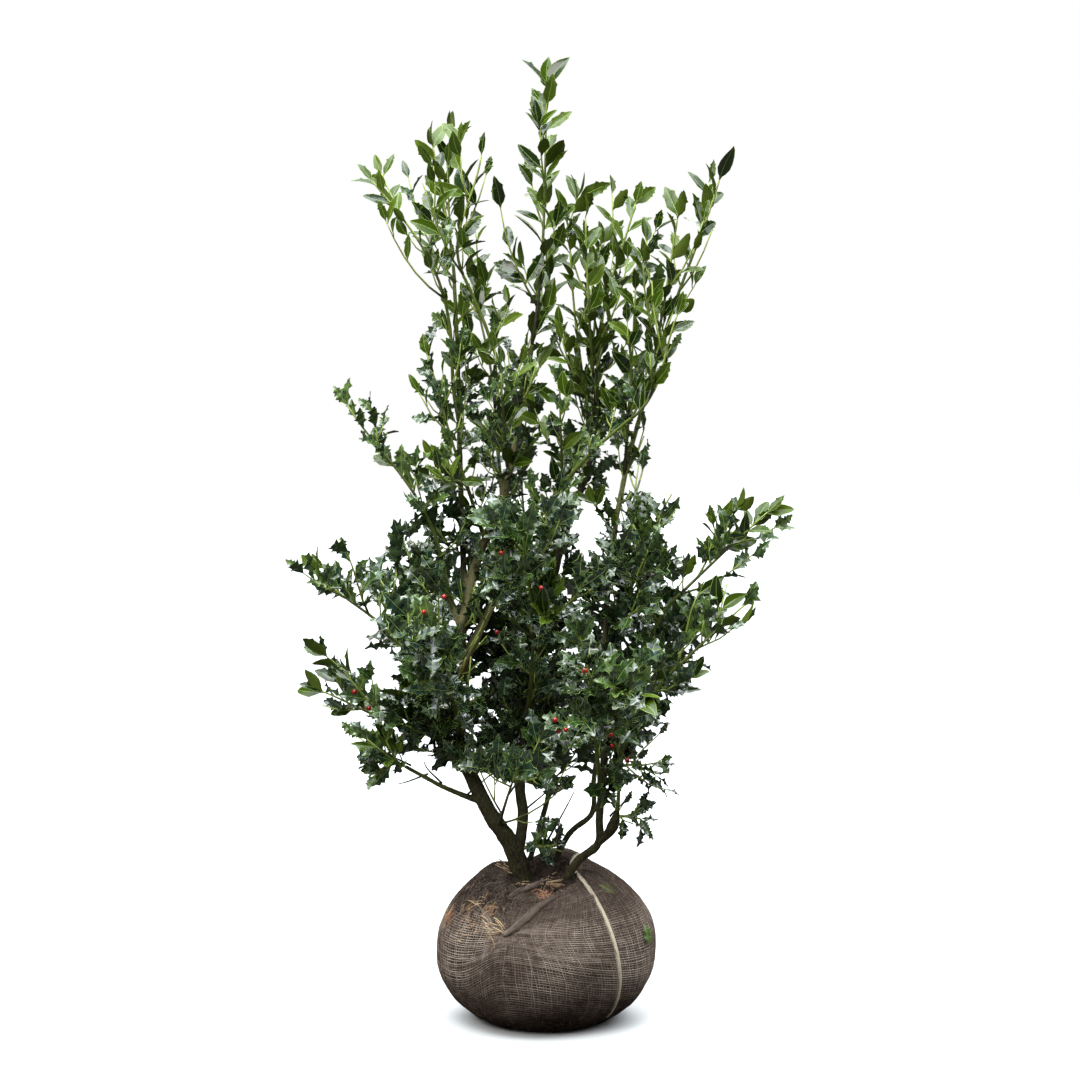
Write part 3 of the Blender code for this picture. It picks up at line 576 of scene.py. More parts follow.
# Limb that each mass grows on from (with height and steepness where it leaves that limb's
# side), its own tip, how steeply it ends, how far its twigs spread, and its side twigs
massPlan = {
    "shoots_leader": ("trunk", None, (0.005, 0.0, 1.688), 88, 0.075, 6),
    "shoots_upper_left_inner": ("bough_leader_left", None, (-0.104, -0.045, 1.56), 82, 0.07, 4),
    "shoots_upper_left": ("bough_upper_left", None, (-0.206, 0.04, 1.59), 80, 0.08, 4),
    "shoots_upper_left_outer": ("bough_upper_left_outer", None, (-0.33, -0.02, 1.508),
                                50, 0.075, 4),
    "shoots_upper_middle": ("stem_middle", None, (0.17, 0.03, 1.484), 76, 0.08, 4),
    "shoots_upper_front": ("stem_middle", (1.08, 62), (0.068, -0.07, 1.45), 84, 0.08, 4),
    "shoots_upper_right_inner": ("stem_right", (1.09, 75), (0.232, -0.075, 1.455), 80, 0.07, 4),
    "shoots_upper_right_outer": ("stem_right", None, (0.316, -0.02, 1.523), 74, 0.075, 4),
    "shoots_upper_back": ("bough_upper_back", None, (0.105, 0.22, 1.43), 78, 0.085, 4),
    "shoots_upper_back_left": ("bough_upper_back_left", None, (-0.145, 0.205, 1.41), 78, 0.085, 4),
    "foliage_front_right_high": ("bough_front_long", None, (0.24, -0.135, 1.28), 68, 0.085, 3),
    "foliage_mid_left_outer": ("bough_mid_left", None, (-0.368, -0.05, 1.125), 58, 0.075, 3),
    "foliage_mid_left_inner": ("bough_mid_left_inner", None, (-0.218, -0.04, 1.215), 72, 0.09, 4),
    "foliage_mid_centre": ("trunk", (0.96, 45), (-0.08, -0.16, 1.18), 70, 0.1, 4),
    "foliage_mid_right": ("stem_right", (0.77, 12), (0.236, 0.03, 0.965), 52, 0.09, 4),
    "foliage_mid_right_back": ("stem_right_back", None, (0.192, 0.232, 1.035), 66, 0.105, 4),
    "foliage_mid_back": ("stem_back", None, (-0.06, 0.26, 1.11), 62, 0.12, 5),
    "foliage_mid_front": ("bough_front_mid", None, (-0.04, -0.32, 0.91), 52, 0.12, 5),
    "foliage_left_high": ("bough_left_high", None, (-0.424, -0.03, 0.825), 50, 0.11, 5),
    "foliage_left_mid": ("bough_left_mid", None, (-0.442, 0.04, 0.593), 20, 0.115, 5),
    "foliage_left_low": ("bough_left_low", None, (-0.345, -0.05, 0.425), -22, 0.09, 4),
    "foliage_right_high": ("bough_right_high", None, (0.42, -0.05, 0.93), 42, 0.105, 5),
    "foliage_right_mid": ("bough_right_mid", None, (0.374, -0.13, 0.775), 42, 0.1, 4),
    "foliage_right_low": ("stem_right", (0.56, 22), (0.292, 0.02, 0.62), 20, 0.09, 4),
    "foliage_right_foot": ("bough_right_foot", None, (0.226, -0.085, 0.415), -40, 0.095, 4),
    "foliage_front_left": ("bough_front_left", None, (-0.19, -0.345, 0.745), 42, 0.125, 5),
    "foliage_front_right": ("bough_front_right", None, (0.12, -0.35, 0.66), 42, 0.125, 5),
    "foliage_front_low": ("trunk", (0.345, 30), (-0.05, -0.325, 0.505), 25, 0.11, 5),
    "foliage_back_left": ("bough_back_left", None, (-0.275, 0.325, 0.78), 42, 0.13, 5),
    "foliage_back_right": ("bough_back_right", None, (0.29, 0.315, 0.72), 40, 0.13, 5),
    "foliage_back_low": ("stem_back", (0.4, 30), (-0.05, 0.345, 0.53), 30, 0.125, 5),
}
limbPlan = {
    "ringGap": 0.01,
    "footFlareLength": 0.055,
    "boughCollar": 0.45,      # how much wider a bough is where it leaves its limb
    "boughCollarLength": 0.016,
    "wander": 0.0011,         # how far a limb strays from its line between nodes
    "nodeGap": 0.032,
    "nodeSwelling": 0.09,
    "reliefDepth": 0.0007,
    # voxel, rounds of smoothing and share of the faces kept
    "fused": (0.00125, 3, 0.27),
}
# Where a bough is thicker than its line, as the brown knob is: how far along, how long and
# how much thicker
knobPlan = {"bough_right_foot": (0.26, 0.13, 0.0062), "bough_front_long": (0.12, 0.2, 0.0024)}


def limbRadii(path, radii, flare):
    # Foot to tip, with the foot's flare dying away
    foot, tip = radii
    total = pathLength(path)
    fallOff = limbPlan["footFlareLength"]
    widths = []
    for i in range(len(path)):
        share = i / (len(path) - 1)
        widths.append(foot + (tip - foot) * share ** 0.8
                      + flare * math.exp(-share * total / fallOff))
    return widths


def buildSkeleton():
    skeleton = {}
    for name, plan in stemPlan.items():
        rough = smoothPath(plan["through"], 40)
        count = int(pathLength(rough) / limbPlan["ringGap"])
        path = smoothPath(plan["through"], count)
        skeleton[name] = (path, limbRadii(path, plan["radii"], plan.get("flare", 0.0)))
    for name, (parent, height, tip, leave, end, radii) in boughPlan.items():
        foot = pointAtHeight(skeleton[parent][0], height)
        tip = Vector(tip)
        count = int((tip - foot).length / limbPlan["ringGap"])
        path = bow(foot, tip, rising(foot, tip, leave), rising(foot, tip, end), count)
        widths = limbRadii(path, radii, 0.0)
        for i, width in enumerate(widths):
            away = i * limbPlan["ringGap"] / limbPlan["boughCollarLength"]
            widths[i] = width * (1 + limbPlan["boughCollar"] * math.exp(-away))
        if name in knobPlan:
            where, long, thicker = knobPlan[name]
            widths = [width + thicker * math.exp(-((i / count - where) / long) ** 2)
                      for i, width in enumerate(widths)]
        skeleton[name] = (path, widths)
    return skeleton


skeleton = buildSkeleton()


def massPath(plan, leafLength, count):
    # The stem of a mass, from its limb to the foot of its tip leaf
    limb, side, tip, end = plan[:4]
    line = skeleton[limb][0]
    tip = Vector(tip)
    tip -= rising(line[-1], tip, end) * leafLength
    if side:
        foot = pointAtHeight(line, side[0])
        first = rising(foot, tip, side[1])
    else:
        foot = line[-1]
        first = (line[-1] - line[-3]).normalized()
    return bow(foot, tip, first, rising(foot, tip, end), count)


# Finishes of the plant: colour, glossiest and mattest roughness, blister depth, wax coat, how
# much the blade shines
leafFinishPlan = {
    "youngBright": (paint(63, 85, 13), 0.16, 0.27, 0.18, 0.12, 0.34),
    "youngFresh": (paint(86, 108, 25), 0.17, 0.29, 0.16, 0.1, 0.34),
    "youngDeep": (paint(31, 51, 9), 0.12, 0.24, 0.2, 0.26, 0.45),
    "youngUnder": (paint(80, 98, 22), 0.4, 0.55, 0.2, 0.0, 0.4),
    "matureDark": (paint(14, 32, 18), 0.09, 0.22, 0.34, 0.9, 0.8),
    "matureBlue": (paint(34, 58, 48), 0.09, 0.24, 0.34, 1.0, 0.8),
    "matureMid": (paint(50, 80, 34), 0.1, 0.24, 0.3, 0.75, 0.7),
    "matureBright": (paint(88, 114, 50), 0.12, 0.26, 0.26, 0.5, 0.6),
    "matureUnder": (paint(66, 86, 48), 0.4, 0.55, 0.2, 0.0, 0.5),
    "leafRib": (paint(144, 168, 80), 0.35, 0.5, 0.1, 0.0, 0.5),
}


def makeLeafFinish(name):
    colour, glossy, matt, depth, wax, shine = leafFinishPlan[name]
    finish = newFinish(name, colour, matt, {"Coat Weight": wax, "Coat Roughness": 0.09,
                                            "Specular IOR Level": shine})
    ripple = placeGroup(finish.node_tree, rippleGroup,
                        {"Depth": depth, "Glossy": glossy, "Matt": matt})
    dress(finish, {"Roughness": ripple["Roughness"], "Normal": ripple["Normal"]})
    return finish


leafFinishes = {name: makeLeafFinish(name) for name in leafFinishPlan}


def makeBarkFinish():
    # Green at the young ends, olive brown on the old stems, pale where the bark is bare
    finish = newFinish("hollyBark", paint(84, 80, 48), 0.76, {"Specular IOR Level": 0.3})
    tree = finish.node_tree
    grain = placeGroup(tree, grainGroup, {"Coarse": 45.0, "Fine": 420.0, "Stretch": 0.35,
                                          "Depth": 0.55})
    age, pale, cut = (addNode(tree, "Attribute", attribute_name=name)["Fac"]
                      for name in ("age", "pale", "cut"))
    young, brown, bare = (blend(tree, grain["Coarse"], low, high) for low, high in (
        (paint(88, 104, 36), paint(112, 128, 52)), (paint(32, 30, 16), paint(60, 57, 32)),
        (paint(118, 113, 74), paint(166, 158, 116))))
    streaked = blend(tree, ramp(tree, grain["Fine"], 0.45, 0.95), brown, paint(86, 82, 52))
    aged = blend(tree, age, young, blend(tree, pale, streaked, bare))
    spots = addNode(tree, "TexVoronoi", {"Vector": addNode(tree, "TexCoord")["Object"],
                                         "Scale": 190.0, "Randomness": 1.0})["Distance"]
    dotted = blend(tree, ramp(tree, spots, 0.26, 0.16), aged, paint(84, 80, 52))
    dress(finish, {"Base Color": blend(tree, cut, dotted, paint(150, 92, 66)),
                   "Normal": grain["Normal"]})
    return finish


def makeClothFinish(name, dark, pale, fine=700.0):
    # Mottled and flecked, with painted shade that darkens it towards the ground
    finish = newFinish(name, pale, 0.92, {"Specular IOR Level": 0.25})
    tree = finish.node_tree
    grain, mottled = addGrain(finish, dark, pale, {"Coarse": 38.0, "Fine": fine, "Depth": 0.7})
    flecked = blend(tree, ramp(tree, grain, 0.55, 1.1), mottled, scaled(pale, 1.9))
    where = addNode(tree, "SeparateXYZ", {0: addNode(tree, "TexCoord")["Object"]})
    # painted shade: the colour darkens towards the ground, where the ball sits on the floor
    dress(finish, {"Base Color": blend(tree, ramp(tree, where["Z"], 0.0, 0.085),
                                       scaled(dark, 0.42), flecked)})
    return finish


# The root ball: the same skin as the solid, with the pull of the cloth towards its fold

ballPlan = {
    "halfWidth": 0.193, "halfDepth": 0.186, "widestZ": 0.128, "rise": 0.142, "fall": 0.146,
    "roundness": 2.14, "segments": 200, "rings": 100,
    # place of each lump across and in depth, its height and its width
    "lumps": ((0.03, 0.075, 0.03, 0.055), (-0.02, -0.02, -0.028, 0.05),
              (-0.085, 0.0, 0.022, 0.05), (0.11, 0.01, 0.012, 0.06)),
    "gatherPixel": (507, 933),      # where the folded cloth is drawn together
    "awayFromCamera": 4.05,
    # degrees over which the threads lean to that place: to its left, its right, in height for
    # the meridians and in height for the rings; then how strongly each of these leans
    "pullLeft": 20, "pullRight": 58, "pullLift": 34, "pullFall": 75, "pullAcross": 0.52,
    "pullUp": 0.6,
    "creases": 19, "creaseDepth": 0.0017, "creaseReach": 0.085,
    "opening": (-0.004, -0.04, 0.06, 0.07),   # middle and half sizes of the soil's ellipse
}
yarnPlan = {
    "weftGap": 0.0046, "weftSteps": 160, "warpCount": 204, "warpSteps": 66,
    "lowest": -74, "highest": 84, "radius": 0.0008, "above": 0.0009, "sides": 3,
    "warpHigher": 0.0003, "warpThinner": 0.85, "shortWarp": (-56, 60),
    "shades": (paint(66, 55, 47), paint(98, 84, 74), paint(130, 114, 102), paint(160, 143, 130),
               paint(190, 172, 156), paint(218, 200, 182)),
    "hairs": 1500, "hairLength": (0.006, 0.016), "hairRadius": 0.00017,
}
# The matted patch at the upper left of the front: middle pixel and half sizes in pixels,
# number of fibres, their length and radius
mattedPlan = {"pixel": (486, 897), "halfSize": (30, 17), "count": 1500,
              "length": (0.008, 0.02), "radius": 0.00042}


def ballPoint(turn, lift):
    power = 2 / ballPlan["roundness"]
    flat = abs(math.cos(lift)) ** power
    tall = math.copysign(abs(math.sin(lift)) ** power, lift)
    x = ballPlan["halfWidth"] * flat * math.cos(turn)
    y = ballPlan["halfDepth"] * flat * math.sin(turn)
    z = ballPlan["widestZ"] + ballPlan["rise" if tall > 0 else "fall"] * tall
    wave = 1 + 0.012 * math.sin(3 * turn + 1.1) + 0.008 * math.sin(5 * turn + 4 * lift)
    x *= wave
    y *= wave
    if lift > 0:
        for whereX, whereY, height, width in ballPlan["lumps"]:
            away = ((x - whereX) ** 2 + (y - whereY) ** 2) / width ** 2
            z += height * math.exp(-away) * min(1.0, lift / 0.6)
    return Vector((x, y, z))


def plainSkin(columns=96, rows=48):
    places = [ballPoint(math.tau * k / columns, math.radians(-85 + 170 * r / (rows - 1)))
              for r in range(rows) for k in range(columns)]
    faces = [(r + k, r + (k + 1) % columns, r + columns + (k + 1) % columns, r + columns + k)
             for r in range(0, (rows - 1) * columns, columns) for k in range(columns)]
    return BVHTree.FromPolygons(places, faces)


def turnAndLift(place):
    # The angles of a point on the ball's lower half or girth
    turn = math.atan2(place.y / ballPlan["halfDepth"], place.x / ballPlan["halfWidth"])
    tall = (place.z - ballPlan["widestZ"]) / ballPlan["rise"]
    steep = math.asin(min(abs(tall), 1.0) ** (ballPlan["roundness"] / 2))
    return turn, math.copysign(steep, tall)


gatherPoint = plainSkin().ray_cast(*pixelRay(*ballPlan["gatherPixel"]))[0]
gatherTurn, gatherLift = turnAndLift(gatherPoint)
ballHeart = Vector((0, 0, ballPlan["widestZ"]))


def clothPoint(turn, lift, above=0.0):
    # The ball's skin with its creases, which run out from the gather, and its lumps
    place = ballPoint(turn, lift)
    away = place - gatherPoint
    far = away.length
    round = math.atan2(away.z, away.x)
    crease = math.sin(round * ballPlan["creases"] + 5 * noise.noise(place * 16))
    relief = (crease * ballPlan["creaseDepth"] * min(far / 0.025, 1)
              * math.exp(-(far / ballPlan["creaseReach"]) ** 2))
    relief += 0.0018 * noise.noise(place * 26) + 0.0007 * noise.noise(place * 85)
    relief -= 0.005 * math.exp(-(far / 0.015) ** 2)
    place += (place - ballHeart).normalized() * (relief + above)
    place.z = max(place.z, 0.0)
    return place


def inOpening(place):
    x, y, halfX, halfY = ballPlan["opening"]
    return place.z > 0.15 and ((place.x - x) / halfX) ** 2 + ((place.y - y) / halfY) ** 2 < 1


def makeRootBall():
    deselectAll()
    bpy.ops.mesh.primitive_uv_sphere_add(segments=ballPlan["segments"],
                                         ring_count=ballPlan["rings"])
    ball = bpy.context.active_object
    for point in ball.data.vertices:
        lift = math.asin(max(-1.0, min(1.0, point.co.z)))
        point.co = clothPoint(math.atan2(point.co.y, point.co.x), lift)
    ball.data.shade_smooth()
    settle(ball, "rootBall", ["root_ball"],
           makeClothFinish("innerCloth", paint(50, 41, 35), paint(98, 84, 74)))
    return BVHTree.FromPolygons([v.co.copy() for v in ball.data.vertices],
                                [tuple(p.vertices) for p in ball.data.polygons])


def topOf(x, y):
    return ballSkin.ray_cast(Vector((x, y, 0.5)), Vector((0, 0, -1)))[0]


def onBall(pixel):
    # The place on the ball that a pixel of the photo shows, or the nearest one past its edge
    start, line = pixelRay(*pixel)
    place, out = ballSkin.ray_cast(start, line)[:2]
    if place is None:
        place, out = ballSkin.find_nearest(start + line * ballPlan["awayFromCamera"])[:2]
    return place, out


def pulled(turn, lift):
    # Threads lean towards the gather, rings in height and meridians sideways
    side = (turn - gatherTurn + math.pi) % math.tau - math.pi
    rise = lift - gatherLift
    reach = ballPlan["pullLeft" if side < 0 else "pullRight"]
    near = math.exp(-(side / math.radians(reach)) ** 2)
    close = math.exp(-(rise / math.radians(ballPlan["pullFall"])) ** 2)
    level = math.exp(-(rise / math.radians(ballPlan["pullLift"])) ** 2)
    return (gatherTurn + side * (1 - ballPlan["pullAcross"] * level * near),
            gatherLift + rise * (1 - ballPlan["pullUp"] * near * close))


def yarnShade(place, bias):
    # Painted shade darkens the threads below; dusty and dark on top, palest where the threads run
    # clear
    worn = noise.noise(place * 13) + 0.8 * noise.noise(place * 90)
    # painted shade: threads darker towards the ground
    low = min(max((place.z - 0.012) / 0.075, 0.0), 1.0)
    top = 1.0 - 0.45 * min(max((place.z - 0.185) / 0.04, 0.0), 1.0)
    bright = (2.5 + 2.2 * bias + 1.7 * worn) * (0.30 + 0.70 * low) * top
    return max(0, min(len(yarnPlan["shades"]) - 1, int(bright)))


def layYarn(sheaf, line, bias, radius):
    # One thread on the skin, broken where it would cross the soil or the ground
    run = []
    for place in line + [None]:
        if place is not None and place.z > 0.0012 and not inOpening(place):
            run.append(place)
            continue
        if len(run) > 2:
            shades = [yarnShade(p, bias) for p in run[:-1]]
            tints = np.repeat(shades, yarnPlan["sides"])
            tints = np.concatenate(([shades[0]], tints, [shades[-1]]))
            widths = [radius * (1 + 0.35 * noise.noise(p * 160))
                      * min(0.45 + 6 * (p - gatherPoint).length, 1.0) for p in run]
            sheaf.add(*tubeArrays(run, widths, yarnPlan["sides"], tints))
        run = []


yarnFinishes = [newFinish(f"yarn{i + 1}", shade, 0.95, {"Specular IOR Level": 0.2})
                for i, shade in enumerate(yarnPlan["shades"])]


def makeYarns():
    low, high = math.radians(yarnPlan["lowest"]), math.radians(yarnPlan["highest"])
    profile = [ballPoint(-math.pi / 2, low + (high - low) * i / 400) for i in range(401)]
    lengths = np.concatenate(([0], np.cumsum([(b - a).length
                                              for a, b in zip(profile, profile[1:])])))
    count = int(lengths[-1] / yarnPlan["weftGap"])
    above, radius = yarnPlan["above"], yarnPlan["radius"]
    shortest, tallest = yarnPlan["shortWarp"]
    dice = random.Random("yarns")
    weft, warp = Sheaf(), Sheaf()
    for r in range(count):
        share = np.interp((r + 0.5) * lengths[-1] / count, lengths, np.linspace(0, 1, 401))
        bias = 0.22 + 0.80 * dice.random() ** 1.5
        sway = dice.uniform(-0.3, 0.3)
        line = []
        for k in range(yarnPlan["weftSteps"] + 1):
            turn = math.tau * k / yarnPlan["weftSteps"] - math.pi
            shake = 0.015 * noise.noise(Vector((turn * 2.5, share * 40 + sway, 3)))
            line.append(clothPoint(*pulled(turn, low + (high - low) * share + shake), above))
        layYarn(weft, line, bias, radius)
    weft.settle("weftYarns", "burlap", yarnFinishes)
    for k in range(yarnPlan["warpCount"]):
        bias = 0.06 + 0.62 * dice.random() ** 1.9
        base = math.tau * k / yarnPlan["warpCount"]
        line = []
        for i in range(yarnPlan["warpSteps"]):
            lift = low + (high - low) * i / (yarnPlan["warpSteps"] - 1)
            # every second thread stops short of the ball's foot and crown
            if k % 2 and not math.radians(shortest) < lift < math.radians(tallest):
                continue
            shake = 0.018 * noise.noise(Vector((base * 30, lift * 4, 7)))
            line.append(clothPoint(*pulled(base + shake, lift), above + yarnPlan["warpHigher"]))
        layYarn(warp, line, bias, radius * yarnPlan["warpThinner"])
    warp.settle("warpYarns", "burlap", yarnFinishes)


def addFibre(sheaf, place, long, radius, tint, dice):
    # A curled fibre that lies on the cloth
    out = (place - ballHeart).normalized()
    side = spreadFrom(out, dice.uniform(0, math.tau), math.radians(dice.uniform(74, 88)))
    curl = out.cross(side) * dice.uniform(-0.5, 0.5) - out * 0.35
    path = [place + side * (long * t) + curl * (long * t * t) for t in (0, 0.35, 0.7, 1.0)]
    if path[-1].z > radius:
        sheaf.add(*tubeArrays(path, [radius, radius, radius, radius * 0.5], 3, tint))


def makeHairs():
    # Loose fibres all over the cloth, and the matted patch beside the folds
    dice = random.Random("hairs")
    sheaf = Sheaf()
    for i in range(yarnPlan["hairs"]):
        turn = dice.uniform(-math.pi, math.pi)
        place = clothPoint(turn, math.radians(dice.uniform(-58, 66)), 0.001)
        if not inOpening(place) and place.z > 0.004:
            addFibre(sheaf, place, dice.uniform(*yarnPlan["hairLength"]),
                     yarnPlan["hairRadius"], dice.choice((3, 4, 5, 5)), dice)
    x, y = mattedPlan["pixel"]
    wide, tall = mattedPlan["halfSize"]
    for i in range(mattedPlan["count"]):
        place, out = onBall((x + dice.gauss(0, 0.6) * wide, y + dice.gauss(0, 0.6) * tall))
        if not inOpening(place):
            addFibre(sheaf, place + out * dice.uniform(0.0004, 0.0022),
                     dice.uniform(*mattedPlan["length"]), mattedPlan["radius"],
                     dice.choice((0, 0, 0, 1, 1, 2, 3)), dice)
    sheaf.settle("looseFibres", "burlap", yarnFinishes)


# Rolled cloth: pixels of the roll's line in the photo, and how thick it is on the way
rollPlan = {
    "mainFold": {"pixels": ((503, 936), (513, 930), (524, 921), (535, 911), (546, 903),
                            (556, 897)),
                 "girth": (0.0035, 0.0064, 0.0074, 0.0072, 0.006, 0.003)},
    "frontRoll": {"pixels": ((508, 899), (516, 894), (526, 890), (536, 886), (545, 881)),
                  "girth": (0.0026, 0.0056, 0.0062, 0.0052, 0.0024)},
    "rightCrease": {"pixels": ((574, 869), (583, 871), (593, 873), (603, 876), (611, 879)),
                    "girth": (0.0024, 0.0036, 0.0034, 0.0028, 0.0012)},
    "leftPuckers": {"pixels": ((478, 905), (486, 915), (492, 925), (500, 934)),
                    "girth": (0.0012, 0.003, 0.0034, 0.0026)},
}
rollShape = {
    "steps": 22, "strands": 8, "wide": 0.7, "tall": 0.5, "lifted": 0.36, "strand": (0.3, 0.44),
    "strandTwist": 0.17, "threads": 16, "threadRadius": 0.00055, "threadOut": 0.42,
    "threadTwist": 0.05, "fused": (0.0008, 2, 0.5),
}


def rollPaths():
    steps = rollShape["steps"]
    for name, plan in rollPlan.items():
        spots = [onBall(pixel) for pixel in plan["pixels"]]
        knots = [place + out * (girth * rollShape["lifted"])
                 for (place, out), girth in zip(spots, plan["girth"])]
        girths = np.interp(np.linspace(0, 1, steps), np.linspace(0, 1, len(knots)),
                           plan["girth"])
        yield name, smoothPath(knots, steps), girths


def roundRoll(path, girths, phase, wide, tall, twist):
    # A line that winds slowly round a roll
    line = []
    for i, (place, girth) in enumerate(zip(path, girths)):
        ahead = (path[min(i + 1, len(path) - 1)] - path[max(i - 1, 0)]).normalized()
        side = ahead.cross(upward).normalized()
        over = side.cross(ahead)
        turn = phase + i * twist + 0.5 * noise.noise(place * 40)
        line.append(place + side * (math.cos(turn) * girth * wide)
                    + over * (math.sin(turn) * girth * tall))
    return line


def makeRolls():
    # Each roll is a bundle of strands that wind round each other, fused and softened, with
    # the cloth's threads running along it
    tubes = []
    threads = Sheaf()
    wide, tall, out = rollShape["wide"], rollShape["tall"], rollShape["threadOut"]
    for name, path, girths in rollPaths():
        dice = random.Random("roll " + name)
        for strand in range(rollShape["strands"]):
            phase = math.tau * strand / rollShape["strands"]
            line = roundRoll(path, girths, phase, wide, tall, rollShape["strandTwist"])
            tubes.append(curveTube(line, [g * dice.uniform(*rollShape["strand"])
                                          for g in girths]))
        for thread in range(rollShape["threads"]):
            phase = math.tau * thread / rollShape["threads"]
            line = roundRoll(path, girths, phase, wide + out, tall + out,
                             rollShape["threadTwist"])
            layYarn(threads, line, dice.uniform(0.3, 1.1), rollShape["threadRadius"])
    threads.settle("rollThreads", "burlap", yarnFinishes)
    settle(fuse(tubes, *rollShape["fused"]), "clothRolls", (),
           makeClothFinish("rolledCloth", paint(82, 70, 62), paint(150, 134, 121), 900.0))


soilPlan = {"side": 84, "lift": 0.0012, "relief": 0.0034, "crumbs": 260, "size": (0.0008, 0.003)}


def makeSoil():
    # Dark earth in the cloth's opening, with crumbs
    x, y, halfX, halfY = ballPlan["opening"]
    deselectAll()
    bpy.ops.mesh.primitive_grid_add(x_subdivisions=soilPlan["side"],
                                    y_subdivisions=soilPlan["side"], size=2)
    soil = bpy.context.active_object
    for point in soil.data.vertices:
        u, v = point.co.x, point.co.y
        long = max(abs(u), abs(v)) / max(math.hypot(u, v), 1e-6)
        u, v = u * long, v * long
        place = topOf(x + u * halfX * 1.04, y + v * halfY * 1.04)
        rough = noise.noise(place * 90) + 0.6 * noise.noise(place * 240)
        edge = 1 - math.hypot(u, v) ** 4
        point.co = place + upward * (soilPlan["lift"] * edge + soilPlan["relief"] * rough * edge)
    soil.data.shade_smooth()
    finish = makeClothFinish("darkSoil", paint(30, 23, 18), paint(66, 53, 43), 500.0)
    settle(soil, "soilCrown", (), finish)
    dice = random.Random("crumbs")
    lump = np.array([(0, 0, 1), (1, 0, 0.1), (0.2, 1, 0), (-0.9, 0.4, 0.1), (-0.5, -0.9, 0),
                     (0.6, -0.8, -0.1), (0, 0, -0.8)])
    corners = np.array([(0, k, k % 5 + 1) for k in range(1, 6)]
                       + [(6, k % 5 + 1, k) for k in range(1, 6)]).ravel()
    sheaf = Sheaf()
    for i in range(soilPlan["crumbs"]):
        turn, far = dice.uniform(0, math.tau), math.sqrt(dice.random()) * 1.05
        place = topOf(x + halfX * far * math.cos(turn), y + halfY * far * math.sin(turn))
        size = dice.uniform(*soilPlan["size"])
        sheaf.add(lump * size + np.array(place) + np.array((0, 0, soilPlan["lift"] + size * 0.4)),
                  corners, np.full(10, 3), np.full(10, dice.choice((0, 0, 1))))
    pale = makeClothFinish("paleCrumb", paint(60, 48, 38), paint(104, 88, 70))
    sheaf.settle("soilCrumbs", "burlap", [finish, pale])


bandPlan = {
    "width": 0.0082, "thickness": 0.0013, "above": 0.0012, "topX": 0.047, "bulge": 0.080,
    "slowStart": 1.5, "lowAngle": 52, "steps": 120,
    "colour": paint(226, 212, 184), "dirt": paint(120, 84, 60), "dirtPixel": (591, 897),
}


def makeTieBand():
    # A flat strip over the crown, down the front and down the back, on the cloth
    steps = bandPlan["steps"]
    places = []
    for i in range(steps):
        share = 2 * i / (steps - 1) - 1
        turn = math.radians(90 + share * (90 + bandPlan["lowAngle"]))
        x = (bandPlan["topX"] + bandPlan["bulge"]
             * math.sin(0.70 * math.pi * abs(share)) ** bandPlan["slowStart"])
        places.append(ballSkin.ray_cast(Vector((x, 0, ballPlan["widestZ"])),
                                        Vector((0, math.cos(turn), math.sin(turn))))[0])
    deselectAll()
    bpy.ops.mesh.primitive_grid_add(x_subdivisions=steps - 1, y_subdivisions=2, size=1)
    band = bpy.context.active_object
    for point in band.data.vertices:
        i = int(round((point.co.x + 0.5) * (steps - 1)))
        across = point.co.y * 2
        ahead = (places[min(i + 2, steps - 1)] - places[max(i - 2, 0)]).normalized()
        out = (places[i] - Vector((places[i].x * 0.5, 0, ballPlan["widestZ"]))).normalized()
        side = ahead.cross(out).normalized()
        narrow = 1 + 0.06 * noise.noise(places[i] * 30)
        point.co = (places[i] + side * (across * bandPlan["width"] / 2 * narrow)
                    + side.cross(ahead) * (bandPlan["above"] + 0.0005 * (1 - across * across)))
    applyStep(band, "SOLIDIFY", thickness=bandPlan["thickness"], offset=1.0)
    band.data.shade_smooth()
    finish = newFinish("creamBand", bandPlan["colour"], 0.62)
    tree = finish.node_tree
    clean = addGrain(finish, bandPlan["colour"], scaled(bandPlan["colour"], 0.82),
                     {"Coarse": 120.0, "Fine": 900.0, "Depth": 0.35})[1]
    away = addNode(tree, "VectorMath", {0: addNode(tree, "TexCoord")["Object"],
                                        1: onBall(bandPlan["dirtPixel"])[0]},
                   operation="DISTANCE")["Value"]
    dress(finish, {"Base Color": blend(tree, ramp(tree, away, 0.009, 0.004), clean,
                                       bandPlan["dirt"])})
    settle(band, "tieBand", ["tie_band"], finish)


# Straw on the cloth: middle pixel, spread, number, length, which way it points on the
# picture in degrees, how much that varies, and its shade
strawPlan = {
    "fanByTheStem": ((543, 882), 0.008, 26, 0.03, 66, 22, 0),
    "redTuft": ((544, 896), 0.01, 26, 0.022, 75, 50, 2),
    "rimStraw": ((551, 887), 0.012, 20, 0.026, 10, 34, 1),
    "rollEdge": ((520, 884), 0.012, 18, 0.03, 22, 18, 0),
    "leftTuft": ((486, 900), 0.018, 30, 0.026, 100, 62, 0),
    "leftKnot": ((488, 912), 0.018, 26, 0.02, 40, 80, 1),
    "longStrand": ((490, 928), 0.01, 24, 0.034, -24, 16, 0),
    "leftScatter": ((468, 917), 0.026, 38, 0.022, 16, 62, 1),
    "backStraw": ((510, 868), 0.014, 16, 0.032, -14, 22, 0),
    "stemStraw": ((526, 876), 0.01, 14, 0.024, 55, 40, 1),
    "leftEdge": ((438, 915), 0.014, 34, 0.028, 84, 12, 2),
}


def acrossBall(heading, out):
    # The direction on the ball that shows as a heading on the picture
    level = Vector((math.cos(heading), 0, math.sin(heading)))
    return (level - out * level.dot(out)).normalized()


